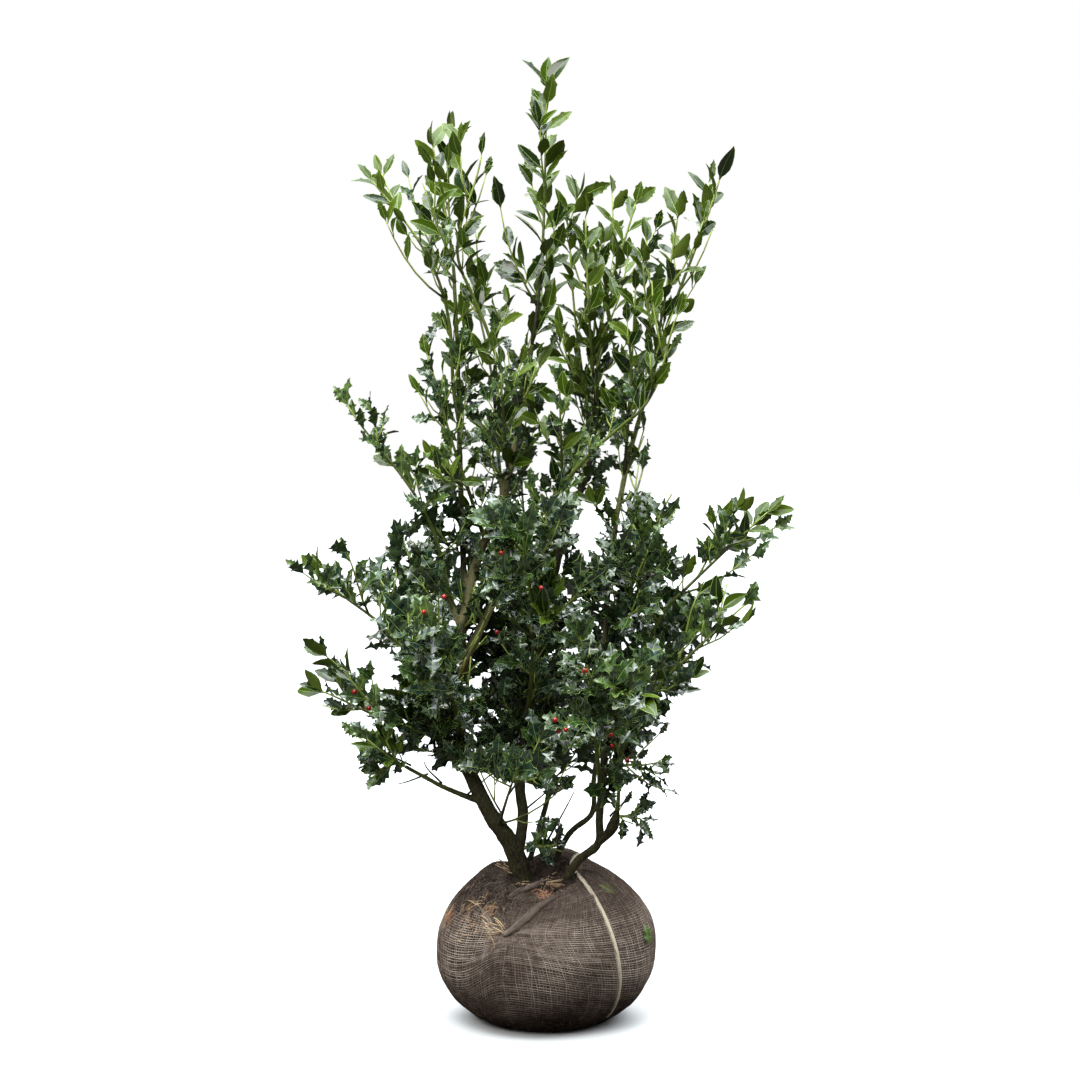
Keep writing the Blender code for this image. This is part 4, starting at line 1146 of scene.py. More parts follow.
def makeStraw():
    shades = [newFinish("paleStraw", paint(230, 200, 156), 0.7),
              newFinish("duskyStraw", paint(184, 148, 112), 0.75),
              newFinish("rustyStraw", paint(206, 146, 112), 0.75)]
    dice = random.Random("straw")
    sheaf = Sheaf()
    for pixel, spread, count, length, heading, swing, shade in strawPlan.values():
        middle, out = onBall(pixel)
        for i in range(count):
            ahead = acrossBall(math.radians(heading + dice.gauss(0, 1) * swing * 0.6), out)
            ahead = (ahead + out * dice.uniform(0.02, 0.28)).normalized()
            side = ahead.cross(out).normalized()
            long = length * dice.uniform(0.45, 1.15)
            start = (middle + ahead * dice.uniform(-0.9, 0.3) * long
                     + side * dice.gauss(0, 0.8) * spread + out * 0.0012)
            bend = side * dice.uniform(-0.5, 0.5) - out * dice.uniform(0.05, 0.40)
            path = [start + ahead * (long * t) + bend * (long * t * t)
                    for t in (0, 0.25, 0.5, 0.75, 1.0)]
            radius = dice.uniform(0.0007, 0.0012)
            tint = shade if dice.random() < 0.7 else dice.choice((0, 1))
            sheaf.add(*tubeArrays(path, [radius * share for share in (1, 1, 0.9, 0.7, 0.25)],
                                  4, tint, 0.45))
    sheaf.settle("straw", "burlap", shades)


# Leaves: one shape of each kind in several forms, copied many times

leafPlan = {
    "mature": {
        "length": 0.059, "width": 0.028, "thickness": 0.0006, "stalk": 0.1,
        "spines": (4, 5, 4, 5, 4), "notch": 0.69, "reach": 1.14, "wave": 0.34,
        "fold": 0.26, "arch": 0.22,
    },
    "young": {
        "length": 0.063, "width": 0.0262, "thickness": 0.0005, "stalk": 0.12,
        "spines": (0, 1, 2, 3, 3), "notch": 0.86, "reach": 1.1, "wave": 0.12,
        "fold": 0.28, "arch": 0.16,
    },
}
ribWidth = 0.0011
rimWidth = 0.0009
stalkHalf = 0.0008
stalkThick = 0.0013
leastHalf = 0.0009
sharpFold = 70
# A piece of joined leaves has fewer triangles than this
mostTriangles = 190000
# Finish of each strip across the leaf: rim, blade, rib, blade, rim, and the underside's two
stripSides = (2, 0, 2, 0, 2, 1, 1)


def bladeWidth(share):
    return max(math.sin(math.pi * min(share, 1.0) ** 0.88), 0.0) ** 0.72


def leafRows(plan, spines, dice):
    # Rows across the blade as: share of its length, then left and right width and lift
    phase = dice.choice((0, 1))
    rows = []
    smooth = (0.0, 0.10, 0.28, 0.50, 0.72, 0.89)
    if plan["notch"] > 0.7:
        toothFrom = 0.50
        shares = [(s, 1.0, 0.0) for s in smooth if not spines or s < toothFrom]
    else:
        toothFrom = 0.06
        shares = [(0.0, 1.0, 0.0)]
    step = (0.94 - toothFrom) / max(spines, 1)
    for k in range(spines):
        lift = plan["wave"] * (1 if (k + phase) % 2 else -0.75) * dice.uniform(0.7, 1.3)
        shares.append((toothFrom + step * (k + 0.30), plan["notch"], -lift * 0.5))
        shares.append((toothFrom + step * (k + 0.86), plan["reach"], lift))
    for share, factor, lift in shares:
        width = bladeWidth(share + 0.03) * plan["width"] / 2
        left = width * factor * dice.uniform(0.92, 1.08)
        right = width * factor * dice.uniform(0.92, 1.08)
        rows.append((share, left, right, lift * dice.uniform(0.7, 1.2),
                     lift * dice.uniform(0.7, 1.2)))
    return rows


def leafShape(kind, spines, dice):
    # x runs across the leaf, y from its stalk to its tip, z up from its upper face
    plan = leafPlan[kind]
    length = plan["length"]
    stalk = plan["stalk"]
    twist = dice.uniform(-0.35, 0.35)
    sweep = dice.uniform(-0.06, 0.06)
    rows = [(-stalk / (1 - stalk), stalkHalf, stalkHalf, 0.0, 0.0)]
    rows += leafRows(plan, spines, dice)
    points = []
    half = plan["width"] / 2
    for i, (share, left, right, liftLeft, liftRight) in enumerate(rows):
        along = stalk + share * (1 - stalk)
        bend = -plan["arch"] * length * (along - 0.3) ** 2
        turn = twist * along
        x = sweep * length * math.sin(math.pi * along)
        thick = stalkThick if i < 2 else plan["thickness"]
        rib = ribWidth / 2 * (1.3 - along)
        left, right = max(left, leastHalf), max(right, leastHalf)
        for across, lift in ((-left, liftLeft), (-max(left - rimWidth, 0.6 * left), liftLeft),
                             (-rib, 0.0), (rib, 0.0),
                             (max(right - rimWidth, 0.6 * right), liftRight),
                             (right, liftRight)):
            rise = abs(across) * plan["fold"] + lift * half * (abs(across) / half)
            points.append((x + across * math.cos(turn) - rise * math.sin(turn), along * length,
                           bend + rise * math.cos(turn) + across * math.sin(turn)))
        points.append((x, along * length, bend - thick))
    points.append((sweep * length * 0.3, length, -plan["arch"] * length * 0.49 * 1.15))
    # each row has six points above and one below, and the strips between rows follow them
    strips = ((0, 1), (1, 2), (2, 3), (3, 4), (4, 5), (6, 0), (5, 6))
    faces = [(0, 6, 5, 4, 3, 2, 1)]
    sides = [stripSides[2]]
    last = 7 * (len(rows) - 1)
    for a in range(0, last, 7):
        faces += [(a + p, a + q, a + 7 + q, a + 7 + p) for p, q in strips]
        sides += stripSides
    faces += [(last + p, last + q, last + 7) for p, q in strips]
    sides += stripSides
    corners = np.array([c for face in faces for c in face])
    totals = np.array([len(face) for face in faces])
    return np.array(points), corners, totals, np.array(sides)


leafDice = random.Random("leaf forms")
leafForms = {kind: [leafShape(kind, spines, leafDice) for spines in plan["spines"]]
             for kind, plan in leafPlan.items()}

# Growth: the rule of the solids, carried on to finer twigs. The zones are the airy young
# shoots at the top, bright sprays of young growth, the upright sprays of the middle, long
# wands, the dense sprays lower down and the sparse ones by the knob.

# Where the photo shows sky beside and between the sprays, as corners in its pixels. No leaf
# and no twig tip grows into them.
skyPlan = {
    "topLeftCorner": ((290, 30), (420, 30), (418, 106), (400, 128), (396, 148), (352, 150),
                      (290, 150)),
    "besideLeaderLeft": ((466, 30), (516, 30), (520, 168), (512, 204), (500, 196), (492, 160),
                         (498, 124), (466, 110)),
    "besideLeaderRight": ((577, 60), (577, 166), (600, 178), (610, 158), (644, 150), (656, 172),
                          (672, 170), (690, 150), (704, 122), (706, 30), (577, 30)),
    "leftUnderTopShoots": ((290, 188), (362, 192), (388, 234), (418, 270), (436, 300),
                           (424, 325), (420, 362), (400, 386), (396, 408), (386, 404),
                           (372, 372), (338, 366), (290, 366)),
    "leftUnderMidShoot": ((290, 398), (332, 402), (345, 425), (364, 442), (366, 460),
                          (388, 480), (398, 498), (418, 508), (396, 518), (390, 530),
                          (350, 534), (334, 528), (290, 528)),
    "leftUnderHighSpray": ((260, 578), (314, 584), (332, 598), (366, 606), (362, 628),
                           (344, 632), (334, 622), (300, 624), (260, 650)),
    "leftUnderMidSpray": ((260, 690), (308, 690), (322, 706), (338, 726), (352, 740),
                          (346, 760), (366, 776), (372, 806), (260, 806)),
    "underTheCrown": ((392, 778), (474, 772), (540, 786), (602, 796), (604, 870),
                      (568, 870), (566, 818), (524, 818), (520, 870), (392, 870)),
    "rightOfTopShoots": ((760, 150), (732, 186), (716, 200), (720, 226), (716, 262),
                         (702, 286), (702, 318), (686, 345), (666, 372), (652, 392),
                         (645, 412), (653, 440), (643, 464), (623, 482), (626, 494),
                         (648, 488), (656, 474), (682, 476), (684, 502), (674, 520),
                         (662, 538), (688, 546), (706, 518), (716, 484), (734, 468),
                         (860, 468), (860, 150)),
    "rightBetweenSprays": ((684, 570), (716, 556), (742, 560), (722, 574), (694, 586)),
    "rightUnderSprays": ((860, 560), (776, 560), (764, 612), (748, 624), (712, 633), (700, 645),
                         (700, 656), (714, 664), (716, 686), (694, 692), (673, 702), (669, 735),
                         (680, 750), (680, 792), (668, 838), (860, 838)),
}
zoneNames = ("shoots", "bright", "middle", "wands", "lower", "sparse")
zoneTable = {
    "majorExtra": (-1, 0, 0, -1, 1, 2),
    "majorFrom": (0.0, 0.25, 0.02, 0.0, 0.04, 0.1),
    "majorTo": (0.6, 0.75, 0.75, 0.62, 0.84, 0.8),
    "majorReach": (1.75, 1.1, 1.4, 1.15, 1.2, 0.95),
    "majorTaper": (0.55, 0.6, 0.62, 0.6, 0.66, 0.5),
    "majorAngle": (27, 33, 33, 30, 42, 42),
    "turnUp": (0.55, 0.48, 0.48, 0.3, 0.32, 0.2),
    "fine": (0, 0, 0, 1, 2, 0),
    "fineReach": (0.34, 0.36, 0.36, 0.36, 0.38, 0.36),
    "short": (3, 2, 4, 4, 8, 4),
    "shortTo": (0.45, 0.75, 0.75, 0.7, 0.9, 0.8),
    "shortLength": ((0.025, 0.05), (0.02, 0.04), (0.02, 0.045),
                    (0.02, 0.04), (0.02, 0.045), (0.015, 0.03)),
    "leafGap": (0.0215, 0.023, 0.024, 0.0215, 0.0192, 0.022),
    "leafFrom": (0.12, 0.14, 0.14, 0.12, 0.16, 0.3),
    "leafAngle": (44, 42, 44, 45, 48, 50),
    "leafSize": ((0.66, 0.98), (0.66, 0.92), (0.64, 0.94), (0.74, 1.02), (0.78, 1.08), (0.5, 0.8)),
    "tuft": (4, 3, 3, 3, 5, 2),
    "youngShare": (0.7, 0.55, 0.08, 0.08, 0.0, 0.0),
    "youngGain": (0.6, 0.45, 0.34, 0.4, 0.04, 0.0),
    "toFront": (0.7, 0.8, 0.45, 0.55, 0.3, 0.6),
}
zonePlan = {zone: {key: row[i] for key, row in zoneTable.items()}
            for i, zone in enumerate(zoneNames)}
# Masses with larger leaves than their zone's
largerLeaves = {"shoots_leader": 1.22, "shoots_upper_right_outer": 1.08, "footSprig": 1.35}
# Sprays between the masses of the solids, where the crown's body is full in the photo:
# as in massPlan, with the zone
fillPlan = {
    "fillLeft": ("trunk", (0.47, 20), (-0.3, -0.08, 0.57), 10, 0.085, 4, "lower"),
    "fillLeftInner": ("trunk", (0.52, 30), (-0.235, -0.12, 0.64), 40, 0.09, 4, "lower"),
    "fillCentreTop": ("stem_middle", (0.86, 60), (0.02, -0.11, 1.165), 78, 0.075, 4, "middle"),
    "fillUpperCentre": ("stem_middle", (1.02, 70), (0.04, -0.04, 1.4), 84, 0.055, 4,
                        "shoots"),
    "fillUpperRight": ("stem_right", (0.96, 78), (0.15, -0.1, 1.33), 82, 0.055, 4,
                       "shoots"),
    "fillRightBody": ("stem_right", (0.7, 40), (0.17, -0.13, 0.88), 60, 0.085, 4, "lower"),
    "knobSpray": ("bough_right_foot", (0.372, 5), (0.212, -0.085, 0.362), -8, 0.05, 2, "sparse"),
    "footSprig": ("stem_middle", (0.3, 30), (-0.01, -0.078, 0.334), 20, 0.05, 1, "sparse"),
    "fillBehindLimb": ("stem_back", (0.54, 40), (-0.105, 0.055, 0.765), 50, 0.07, 4, "lower"),
    "fillBehindMiddle": ("stem_middle", (0.56, 20), (-0.05, 0.095, 0.745), 62, 0.06, 3,
                         "lower"),
    "fillBehindLow": ("stem_back", (0.45, 30), (-0.112, 0.052, 0.69), 60, 0.078, 4, "lower"),
    "frontBrightShoot": ("bough_front_mid", (0.64, 60), (-0.006, -0.235, 0.85), 66, 0.055, 4,
                         "bright"),
    "leftBrightShoot": ("bough_mid_left_inner", (0.94, 40), (-0.185, -0.14, 1.02), 70, 0.05,
                        3, "bright"),
}
# Masses that reach out past the body of the crown as a few long sprays
wandMasses = ("foliage_mid_left_outer", "foliage_left_high", "foliage_left_mid",
              "foliage_left_low", "foliage_right_high", "foliage_right_mid",
              "foliage_right_low", "foliage_mid_right")
sparseMasses = ("foliage_right_foot",)
tintPlan = {
    "young": ("youngBright", "youngBright", "youngFresh", "youngDeep", "youngDeep"),
    "mature": ("matureDark", "matureDark", "matureBlue", "matureBlue", "matureMid"),
    "bright": ("matureBright", "matureBright", "matureMid", "matureMid", "matureBlue"),
}
twigPlan = {
    "stem": (0.0034, 0.0015), "twig": (0.0019, 0.0011), "bare": (0.0022, 0.001),
    "sides": 5, "ringGap": 0.02,
    "greenLength": 0.2,       # how far back from its tip a twig stays green
}
spurPlan = {"gap": 0.046, "lowest": 0.43, "length": (0.03, 0.07), "angle": 52}
middleFrom = 0.84
shootsFrom = 1.14
leafRoom = 0.0136
shootRoom = 0.0175
reachPastSpread = 0.045
limbClear = 0.009
lowestLeaf = 0.272
leafCell = 0.016
# How leaves face: away from the middle of the crown from this far out, to the open front, up
facePlan = {"away": 0.85, "awayFrom": 0.07, "awayAtFront": 0.30, "front": 0.80, "up": 0.60}


def insideShape(x, y, corners):
    inside = False
    lastX, lastY = corners[-1]
    for nextX, nextY in corners:
        if (nextY > y) != (lastY > y):
            inside ^= x < (lastX - nextX) * (y - nextY) / (lastY - nextY) + nextX
        lastX, lastY = nextX, nextY
    return inside


def inSky(point):
    x, y = pixelOf(point)
    return any(insideShape(x, y, corners) for corners in skyPlan.values())


def untilSky(path):
    # A stem whose tip would run on into open sky ends before it
    last = len(path)
    while last > 5 and inSky(path[last - 1]):
        last -= 1
    return path[:last]


# Where the photo shows bare limbs between the leaves: corners in its pixels, and the depth in
# front of which nothing grows there
windowPlan = {
    "paleLimb": (((455, 680), (480, 684), (508, 618), (484, 600)), -0.022),
    "paleTrunk": (((449, 616), (466, 618), (486, 566), (468, 554)), -0.02),
}


def hidesLimb(point):
    x, y = pixelOf(point)
    return any(point.y < depth and insideShape(x, y, corners)
               for corners, depth in windowPlan.values())


def nearestIn(places):
    tree = KDTree(len(places))
    for i, place in enumerate(places):
        tree.insert(place, i)
    tree.balance()
    return tree


class Crown:
    # Everything that has grown: leaves by kind, twigs, and the room that each leaf takes
    def __init__(self):
        self.leaves = {"young": [], "mature": []}
        self.twigs = Sheaf()
        self.rooms = {}
        self.feet = []
        self.limbTree = nearestIn([p for path, widths in skeleton.values() for p in path])
        self.limbWidths = [w for path, widths in skeleton.values()
                           for place, w in zip(path, widths)]

    def hasRoom(self, middle):
        room = leafRoom if middle.z < shootsFrom else shootRoom
        x, y, z = (int(math.floor(c / leafCell)) for c in middle)
        around = [self.rooms.get((x + dx, y + dy, z + dz), ())
                  for dx in (-1, 0, 1) for dy in (-1, 0, 1) for dz in (-1, 0, 1)]
        if any((middle - other).length < room for near in around for other in near):
            return False
        self.rooms.setdefault((x, y, z), []).append(middle)
        return True

    def clearOfLimbs(self, middle):
        index, away = self.limbTree.find(middle)[1:]
        return away > self.limbWidths[index] + limbClear


crown = Crown()


class Reach:
    # The space of one mass: how far from its own stem, and how far past its tip
    def __init__(self, path, spread, leafLength):
        self.path = path
        self.spread = spread + reachPastSpread
        self.ahead = (path[-1] - path[-2]).normalized()
        self.limit = path[-1].dot(self.ahead) + leafLength * 1.05

    def holds(self, point):
        if point.dot(self.ahead) > self.limit:
            return False
        return lineDistance(point, self.path) < self.spread


def addLeaf(kind, tint, place, out, upper, size, reach, dice):
    length = leafPlan[kind]["length"] * size
    out = out.normalized()
    middle = place + out * (length * 0.55)
    tip = place + out * length
    if min(tip.z, middle.z) < lowestLeaf:
        return
    if reach and not (reach.holds(tip) and reach.holds(middle)):
        return
    if inSky(middle) or inSky(place + out * (length * 0.9)):
        return
    if any(hidesLimb(point) for point in (middle, tip, place)):
        return
    if not crown.clearOfLimbs(middle) or not crown.hasRoom(middle):
        return
    across = out.cross(upper)
    if across.length < 1e-4:
        across = out.orthogonal()
    across.normalize()
    across.rotate(Matrix.Rotation(math.radians(dice.uniform(-34, 34)), 3, out))
    crown.leaves[kind].append((tint, dice.randrange(len(leafForms[kind])), place, across, out,
                               across.cross(out), size, dice.uniform(0.88, 1.14)))


def zoneAt(height):
    if height > shootsFrom:
        return "shoots"
    return "middle" if height > middleFrom else "lower"


def sprayTints(zone, outer, dice):
    # Each spray has its own tints: brighter on the outer sprays and higher up
    young, mature = list(tintPlan["young"]), list(tintPlan["mature"])
    if zone in ("shoots", "bright", "wands"):
        mature = list(tintPlan["bright"])
    elif zone == "middle" or outer > 0.7:
        mature += ["matureMid", "matureMid", "matureBright"]
    return {"young": dice.sample(young, 3), "mature": dice.sample(mature, 3)}


def lightward(place, plan, dice):
    # Leaves turn their upper faces up and away from the middle of the crown, and a share of
    # them to the open front
    level = Vector((place.x, place.y, 0))
    away = level.normalized() * (facePlan["away"] * min(level.length / facePlan["awayFrom"], 1))
    if dice.random() < plan["toFront"]:
        away = away * facePlan["awayAtFront"] + Vector((0, -facePlan["front"], 0))
    return away + upward * facePlan["up"]


def leafKind(plan, share, dice):
    return "young" if dice.random() < plan["youngShare"] + plan["youngGain"] * share else "mature"


def leafTwig(path, zone, tints, outer, first, reach, dice, grow=1.0):
    # Leaves set round a twig by the golden angle, and a tuft at its tip. outer says how far
    # out in the mass the twig is, from 0 to 1.
    plan = zonePlan[zone]
    count = max(1, int(pathLength(path) * (1 - first) / plan["leafGap"]))
    turn = dice.uniform(0, math.tau)
    for i in range(count):
        share = first + (0.97 - first) * i / count
        place, ahead = alongPath(path, share)
        turn += goldenTurn + dice.uniform(-0.15, 0.15)
        angle = math.radians(plan["leafAngle"] + dice.uniform(-10, 12) - 12 * share)
        out = spreadFrom(ahead, turn, angle) + upward * 0.10
        kind = leafKind(plan, outer * 0.5 + share * 0.5, dice)
        size = dice.uniform(*plan["leafSize"]) * (1.0 - 0.10 * share) * grow
        upper = lightward(place, plan, dice) + ahead * 0.25
        addLeaf(kind, dice.choice(tints[kind]), place, out, upper, size, reach, dice)
        crown.feet.append(place)
    place, ahead = alongPath(path, 1.0)
    kind = leafKind(plan, 0.5 + 0.5 * outer, dice)
    for i in range(plan["tuft"]):
        turn += goldenTurn
        angle = math.radians(dice.uniform(14, 42) if i else 4)
        out = spreadFrom(ahead, turn, angle) + upward * 0.06
        size = plan["leafSize"][1] * grow * (dice.uniform(0.55, 0.95) if i else 0.62)
        addLeaf(kind, dice.choice(tints[kind]), place - ahead * (0.0022 * i), out,
                lightward(place, plan, dice) + ahead * 0.2, size, reach, dice)


def addTwig(path, radii, woody, dry=False):
    # Woody twigs are brown at the foot, olive further on and green towards the tip
    widths = [radii[0] + (radii[1] - radii[0]) * i / (len(path) - 1) for i in range(len(path))]
    total = pathLength(path)
    sides = twigPlan["sides"]
    tints = []
    for i in range(len(path) - 1):
        toTip = total * (1 - i / (len(path) - 1))
        age = 2 if dry else toTip / twigPlan["greenLength"] + woody
        tints += [0 if age < 0.8 else 1 if age < 1.5 else 2] * sides
    tints = np.array([tints[0]] + tints + [tints[-1]])
    crown.twigs.add(*tubeArrays(path, widths, sides, tints))


def growTwig(foot, out, lean, length, zone, tints, outer, reach, dice, fine, grow=1.0):
    # A side twig that turns up towards its tip, its own finer twigs, and their leaves
    plan = zonePlan[zone]
    for shorter in (1.0, 0.72, 0.48):
        long = length * shorter
        tip = foot + out * long + upward * (long * plan["turnUp"])
        if (reach is None or reach.holds(tip)) and not inSky(tip):
            break
    else:
        return
    last = (out * 0.6 + lean * 0.7 + upward * plan["turnUp"]).normalized()
    path = bow(foot, tip, out, last, max(3, int(long / twigPlan["ringGap"])))
    thick = 0.7 + 0.5 * min(long / 0.12, 1.0)
    addTwig(path, (twigPlan["twig"][0] * thick, twigPlan["twig"][1]),
            0.3 if zone == "lower" else 0.1)
    leafTwig(path, zone, tints, outer, plan["leafFrom"], reach, dice, grow)
    turn = dice.uniform(0, math.tau)
    for k in range(fine):
        share = 0.22 + 0.5 * k / max(fine - 1, 1)
        place, ahead = alongPath(path, share)
        turn += goldenTurn
        side = spreadFrom(ahead, turn, math.radians(plan["majorAngle"]))
        growTwig(place, side, ahead, long * plan["fineReach"] * dice.uniform(0.8, 1.2), zone,
                 tints, outer, reach, dice, 0)


def zoneOf(name):
    if name in fillPlan:
        return fillPlan[name][-1]
    if name in wandMasses:
        return "wands"
    if name in sparseMasses:
        return "sparse"
    return "shoots" if name.startswith("shoots") else zoneAt(massPlan[name][2][2] - 0.12)


def growMass(name):
    own = massPlan[name] if name in massPlan else fillPlan[name]
    limb, side, tip, end, spread, twigs = own[:6]
    zone = zoneOf(name)
    plan = zonePlan[zone]
    dice = random.Random(name)
    leafLength = leafPlan["young"]["length"]
    grow = largerLeaves.get(name, 1.0)
    path = untilSky(massPath(own, leafLength * 0.75, 16))
    reach = Reach(path, spread, leafLength)
    startWidth = skeleton[limb][1][-1] if side is None else twigPlan["stem"][0]
    addTwig(path, (min(startWidth, twigPlan["stem"][0]), twigPlan["stem"][1]),
            0.1 if zone == "shoots" else 0.5)
    turn = dice.uniform(0, math.tau)
    majors = twigs + plan["majorExtra"]
    for i in range(majors):
        share = plan["majorFrom"] + (plan["majorTo"] - plan["majorFrom"]) * i / (majors - 1)
        foot, ahead = alongPath(path, share)
        turn += goldenTurn
        out = spreadFrom(ahead, turn, math.radians(plan["majorAngle"] + dice.uniform(-6, 6)))
        long = spread * plan["majorReach"] * (1 - plan["majorTaper"] * share)
        tints = sprayTints(zone, share, dice)
        growTwig(foot, out, ahead, long * dice.uniform(0.8, 1.15), zone, tints, share, reach,
                 dice, plan["fine"], grow)
    for i in range(plan["short"]):
        share = 0.03 + plan["shortTo"] * i / plan["short"]
        foot, ahead = alongPath(path, share)
        turn += goldenTurn
        out = spreadFrom(ahead, turn, math.radians(plan["majorAngle"] + 8))
        growTwig(foot, out, ahead, dice.uniform(*plan["shortLength"]), zone,
                 sprayTints(zone, share, dice), share, reach, dice, 0, grow)
    leafTwig(path, zone, sprayTints(zone, 1.0, dice), 1.0, 0.35, reach, dice, 1.08 * grow)


def growSpurs():
    # Short leafy twigs along the limbs themselves, inside the crown
    for name, (path, widths) in skeleton.items():
        dice = random.Random("spurs " + name)
        total = pathLength(path)
        turn = dice.uniform(0, math.tau)
        for i in range(int(total / spurPlan["gap"])):
            foot, ahead = alongPath(path, i * spurPlan["gap"] / total)
            turn += goldenTurn
            if foot.z < spurPlan["lowest"]:
                continue
            zone = zoneAt(foot.z)
            out = spreadFrom(ahead, turn, math.radians(spurPlan["angle"]))
            growTwig(foot, out, ahead, dice.uniform(*spurPlan["length"]), zone,
                     sprayTints(zone, 0.0, dice), 0.0, None, dice, 1)


# Bare twigs low down, by the pixels of their feet and tips, with their depth
bareTwigPlan = {
    "belowTheFork": ((527, 808), (552, 786), -0.02),
    "betweenStems": ((549, 838), (574, 792), -0.01),
    "shortPeg": ((558, 846), (560, 820), -0.03),
    "lowLeftFirst": ((440, 781), (424, 762), -0.03),
    "lowLeftSecond": ((425, 775), (398, 784), -0.03),
    "lowLeftThird": ((408, 764), (385, 752), -0.03),
    "lowLeftLong": ((470, 792), (498, 768), -0.03),
    "knobTwig": ((612, 814), (628, 796), -0.06),
}


def growBareTwigs():
    dice = random.Random("bare twigs")
    for foot, tip, depth in bareTwigPlan.values():
        start, end = atDepth(foot, depth), atDepth(tip, depth + dice.uniform(-0.02, 0.02))
        ahead = (end - start).normalized()
        lean = (ahead + Vector((dice.uniform(-0.4, 0.4), 0, 0.2))).normalized()
        path = bow(start - ahead * 0.006, end, ahead, lean, 6)
        addTwig(path, twigPlan["bare"], 2.0, True)


berryPlan = {
    "radius": 0.0043, "stalk": 0.006, "segments": 12, "rings": 8, "nearRay": 0.02,
    "before": 0.007, "leafMiddle": 0.026,
    "pixels": ((444, 597), (424, 612), (497, 632), (501, 553), (541, 588), (585, 671),
               (555, 720), (558, 731), (566, 730), (611, 735), (612, 746), (627, 760)),
    "elsewhere": 16, "elsewhereHeights": (0.46, 0.8),
}


def berryPlaces():
    # Each berry of the photo hangs before the foremost leaf near its line of sight
    found = []
    feet = nearestIn(crown.feet)
    middles = [place + out * berryPlan["leafMiddle"] for leaves in crown.leaves.values()
               for tint, form, place, across, out, face, size, wide in leaves]
    for pixel in berryPlan["pixels"]:
        start, line = pixelRay(*pixel)
        near = [(place - start).dot(line) for place in middles
                if (place - start).cross(line).length < berryPlan["nearRay"]]
        if near:
            spot = start + line * (min(near) - berryPlan["before"])
            found.append((spot, feet.find(spot)[0]))
    dice = random.Random("berries")
    low, high = berryPlan["elsewhereHeights"]
    sides = [place for place in crown.feet
             if low < place.z < high and place.y > 0 and math.hypot(place.x, place.y) > 0.18]
    for place in dice.sample(sides, berryPlan["elsewhere"]):
        out = Vector((place.x, place.y, -0.1)).normalized()
        found.append((place + out * (berryPlan["stalk"] + 0.003), place))
    return found


def makeBerries():
    radius = berryPlan["radius"]
    deselectAll()
    bpy.ops.mesh.primitive_uv_sphere_add(segments=berryPlan["segments"],
                                         ring_count=berryPlan["rings"], radius=radius)
    model = bpy.context.active_object
    faces = [tuple(p.vertices) for p in model.data.polygons]
    points = np.array([v.co[:] for v in model.data.vertices])
    corners = np.array([c for face in faces for c in face])
    totals = np.array([len(face) for face in faces])
    # the dark scar of the flower at the far end
    scar = np.array([int(sum(points[c][2] for c in face) / len(face) < -0.93 * radius)
                     for face in faces])
    bpy.data.objects.remove(model)
    dice = random.Random("berry sizes")
    sheaf = Sheaf()
    for middle, foot in berryPlaces():
        out = (middle - foot).normalized()
        turned = np.array(out.to_track_quat("-Z", "Y").to_matrix()).T * dice.uniform(0.88, 1.1)
        sheaf.add(points @ turned + np.array(middle), corners, totals, scar)
        stalk = [foot, foot.lerp(middle, 0.5) + upward * 0.0008, middle]
        sheaf.add(*tubeArrays(stalk, [0.0006, 0.0005, 0.0006], 4, 2))
    red = grainyFinish("berryRed", paint(186, 18, 12), 0.22, paint(150, 8, 8), paint(198, 24, 14),
                       {"Coarse": 160.0, "Fine": 900.0, "Depth": 0.08}, {"Coat Weight": 0.5})
    sheaf.settle("berries", "mature_foliage", [red, newFinish("berryScar", paint(40, 24, 18), 0.8),
                                               newFinish("berryStalk", paint(112, 120, 50), 0.5)])


# Fallen leaves on the cloth: pixel of the foot, which way the tip points on the picture in
# degrees, size and finish
strayPlan = {
    "greenLeaf": ((643, 925), -84, 0.62, "matureBright"),
    "oliveLeaf": ((599, 886), -32, 0.5, "dryLeaf"),
}


def makeStrayLeaves():
    dry = newFinish("dryLeaf", paint(98, 84, 48), 0.7)
    finishes = [leafFinishes["matureBright"], dry, leafFinishes["matureUnder"],
                leafFinishes["leafRib"]]
    sheaf = Sheaf()
    for pixel, heading, size, finish in strayPlan.values():
        place, out = onBall(pixel)
        out = (out - pixelRay(*pixel)[1] * 0.9).normalized()
        ahead = acrossBall(math.radians(heading), out)
        points, corners, totals, sides = leafForms["mature"][0]
        turned = np.array([ahead.cross(out), ahead, out]) * size
        slots = np.array([int(finish == "dryLeaf"), 2, 3])
        sheaf.add(points @ turned + np.array(place + out * 0.004), corners, totals, slots[sides])
    sheaf.settle("strayLeaves", "mature_foliage", finishes, (), sharpFold)


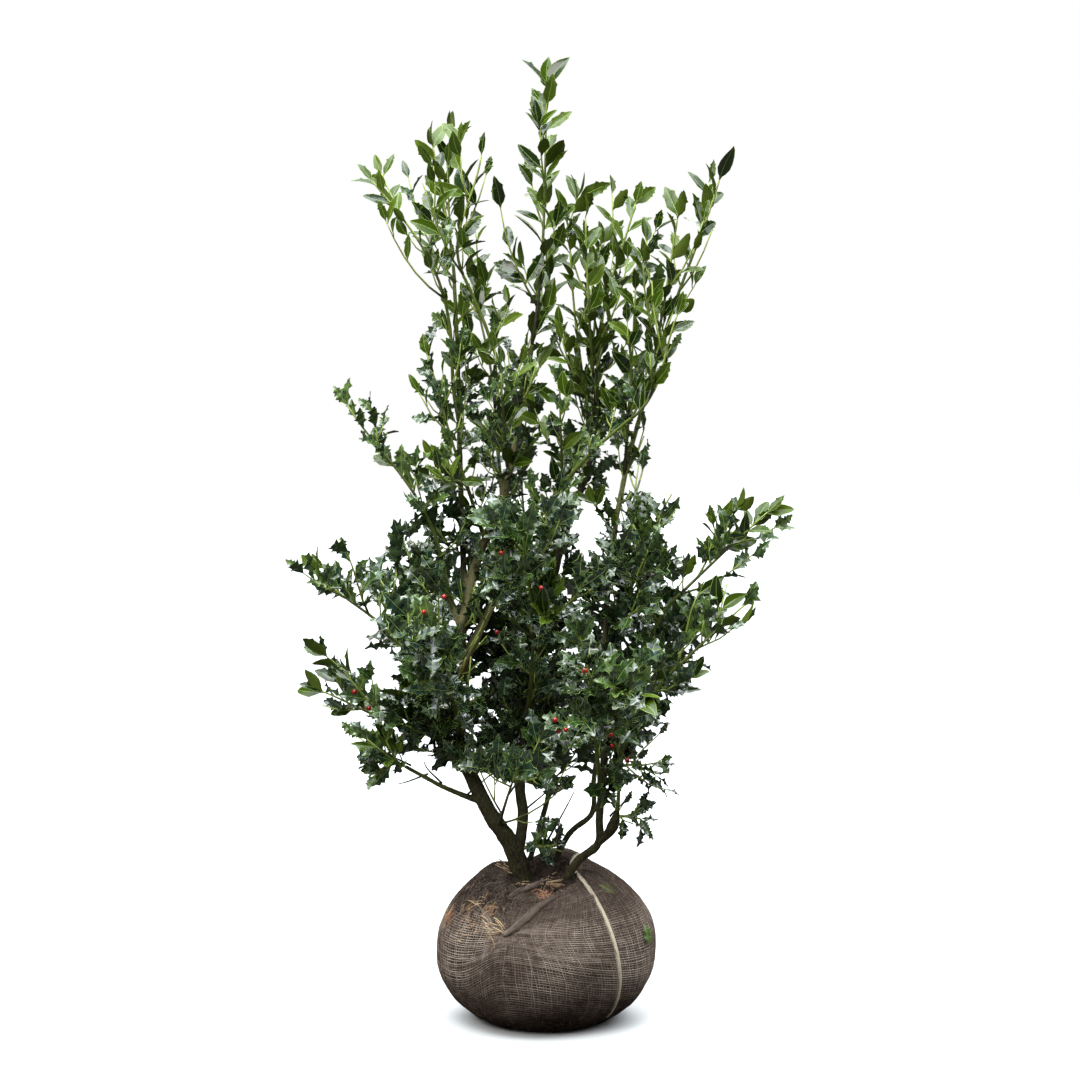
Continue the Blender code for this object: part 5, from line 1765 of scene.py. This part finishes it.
def makeLeafPieces():
    for kind, leaves in crown.leaves.items():
        tops = [name for name in leafFinishPlan if name.startswith(kind) and "Under" not in name]
        finishes = [leafFinishes[name] for name in tops + [kind + "Under", "leafRib"]]
        start = "shoots" if kind == "young" else "foliage"
        nodes = [name for name in massPlan if name.startswith(start)]
        forms = leafForms[kind]
        perLeaf = max(int(sum(form[2] - 2)) for form in forms)
        parts = int(math.ceil(len(leaves) * perLeaf / mostTriangles))
        leaves.sort(key=lambda leaf: leaf[2].z)
        share = int(math.ceil(len(leaves) / parts))
        for part in range(parts):
            sheaf = Sheaf()
            own = leaves[part * share:(part + 1) * share]
            for tint, form, place, across, out, face, size, wide in own:
                points, corners, totals, sides = forms[form]
                turned = np.array([across * (size * wide), out * size, face * size])
                slots = np.array([tops.index(tint), len(tops), len(tops) + 1])
                sheaf.add(points @ turned + np.array(place), corners, totals, slots[sides])
            sheaf.settle(f"{kind}Leaves{part + 1}", f"{kind}_foliage", finishes,
                         nodes[part::parts], sharpFold)
        print(kind, len(leaves), "leaves")


def makeTwigPiece():
    sizes = {"Coarse": 60.0, "Fine": 900.0, "Depth": 0.3}
    shades = {"greenTwig": (paint(136, 154, 56), paint(164, 178, 88)),
              "oliveTwig": (paint(82, 92, 38), paint(112, 122, 56)),
              "brownTwig": (paint(44, 42, 24), paint(72, 70, 40))}
    crown.twigs.settle("twigs", "bark", [
        grainyFinish(name, low, 0.5, low, high, sizes, {"Coat Weight": 0.1})
        for name, (low, high) in shades.items()])


def makeLimbs():
    # Each limb is a poly curve with its own widths; all are fused and given their relief
    tubes = []
    for name, (path, widths) in skeleton.items():
        dice = random.Random("limb " + name)
        phase = Vector((dice.uniform(0, 50), dice.uniform(0, 50), dice.uniform(0, 50)))
        places = []
        radii = []
        for i, (place, width) in enumerate(zip(path, widths)):
            stray = noise.noise_vector(place * 22 + phase) * limbPlan["wander"]
            away = (i * limbPlan["ringGap"]) % limbPlan["nodeGap"]
            swell = limbPlan["nodeSwelling"] * math.exp(-(away / 0.006) ** 2)
            places.append(place + stray)
            radii.append(width * (1 + swell + 0.05 * noise.noise(place * 60 + phase)))
        tubes.append(curveTube(places, radii))
    settle(fuse(tubes, *limbPlan["fused"], shapeBark), "barkLimbs",
           list(stemPlan) + list(boughPlan), makeBarkFinish())


# Bare pale wood and its reddish cut end, as lines between pixels, with how far they reach
palePlan = (((466, 672), (496, 610), 9), ((457, 618), (478, 556), 9), ((470, 560), (486, 530), 7))
cutPlan = ((464, 674), (470, 664), 7)


def pixelNearness(point, line):
    # 1 on a line of the photo, falling to 0 at its reach
    start, end, reach = line
    x, y = pixelOf(point)
    alongX, alongY = end[0] - start[0], end[1] - start[1]
    share = ((x - start[0]) * alongX + (y - start[1]) * alongY) / (alongX ** 2 + alongY ** 2)
    share = min(max(share, 0.0), 1.0)
    away = math.hypot(x - start[0] - share * alongX, y - start[1] - share * alongY)
    return min(max(2 - 2 * away / reach, 0.0), 1.0)


def shapeBark(limbs):
    # Fine relief along the normals, and masks for age, pale bark and the cut end
    mesh = limbs.data
    count = len(mesh.vertices)
    places, normals = np.empty(count * 3), np.empty(count * 3)
    mesh.vertices.foreach_get("co", places)
    mesh.vertices.foreach_get("normal", normals)
    places, normals = places.reshape(-1, 3), normals.reshape(-1, 3)
    masks = {key: np.zeros(count) for key in ("age", "pale", "cut")}
    relief = np.empty(count)
    for i, co in enumerate(places):
        spot = Vector(co)
        width = crown.limbWidths[crown.limbTree.find(spot)[1]]
        masks["age"][i] = min(max((width - 0.0030) / 0.0022, 0.0), 1.0)
        patch = 0.5 + 0.5 * noise.noise(spot * 9.0)
        pale = min(max((patch - 0.50) * 4, 0.0), 1.0) * min(max((spot.z - 0.42) * 6, 0), 1)
        if spot.y < 0.02 and 0.58 < spot.z < 0.86:
            pale = max([pale] + [pixelNearness(spot, line) for line in palePlan])
            masks["cut"][i] = pixelNearness(spot, cutPlan) if spot.x > -0.147 else 0.0
        masks["pale"][i] = pale
        ridges = noise.noise(Vector((spot.x * 260, spot.y * 260, spot.z * 70)))
        rough = ridges * 0.7 + noise.noise(spot * 520) * 0.3
        relief[i] = rough * limbPlan["reliefDepth"] * min(width / 0.006, 1)
    mesh.vertices.foreach_set("co", (places + normals * relief[:, None]).ravel())
    for key, values in masks.items():
        mesh.attributes.new(key, "FLOAT", "POINT").data.foreach_set("value", values)
    mesh.update()


makeCamera()
makeSky()
makeLamps()
makeFloor()
print("camera and studio made")
for massName in list(massPlan) + list(fillPlan):
    growMass(massName)
growSpurs()
growBareTwigs()
print("crown grown")
makeLeafPieces()
makeTwigPiece()
makeLimbs()
ballSkin = makeRootBall()
makeYarns()
makeHairs()
makeRolls()
makeSoil()
makeTieBand()
makeStraw()
makeStrayLeaves()
makeBerries()
print("root ball made")
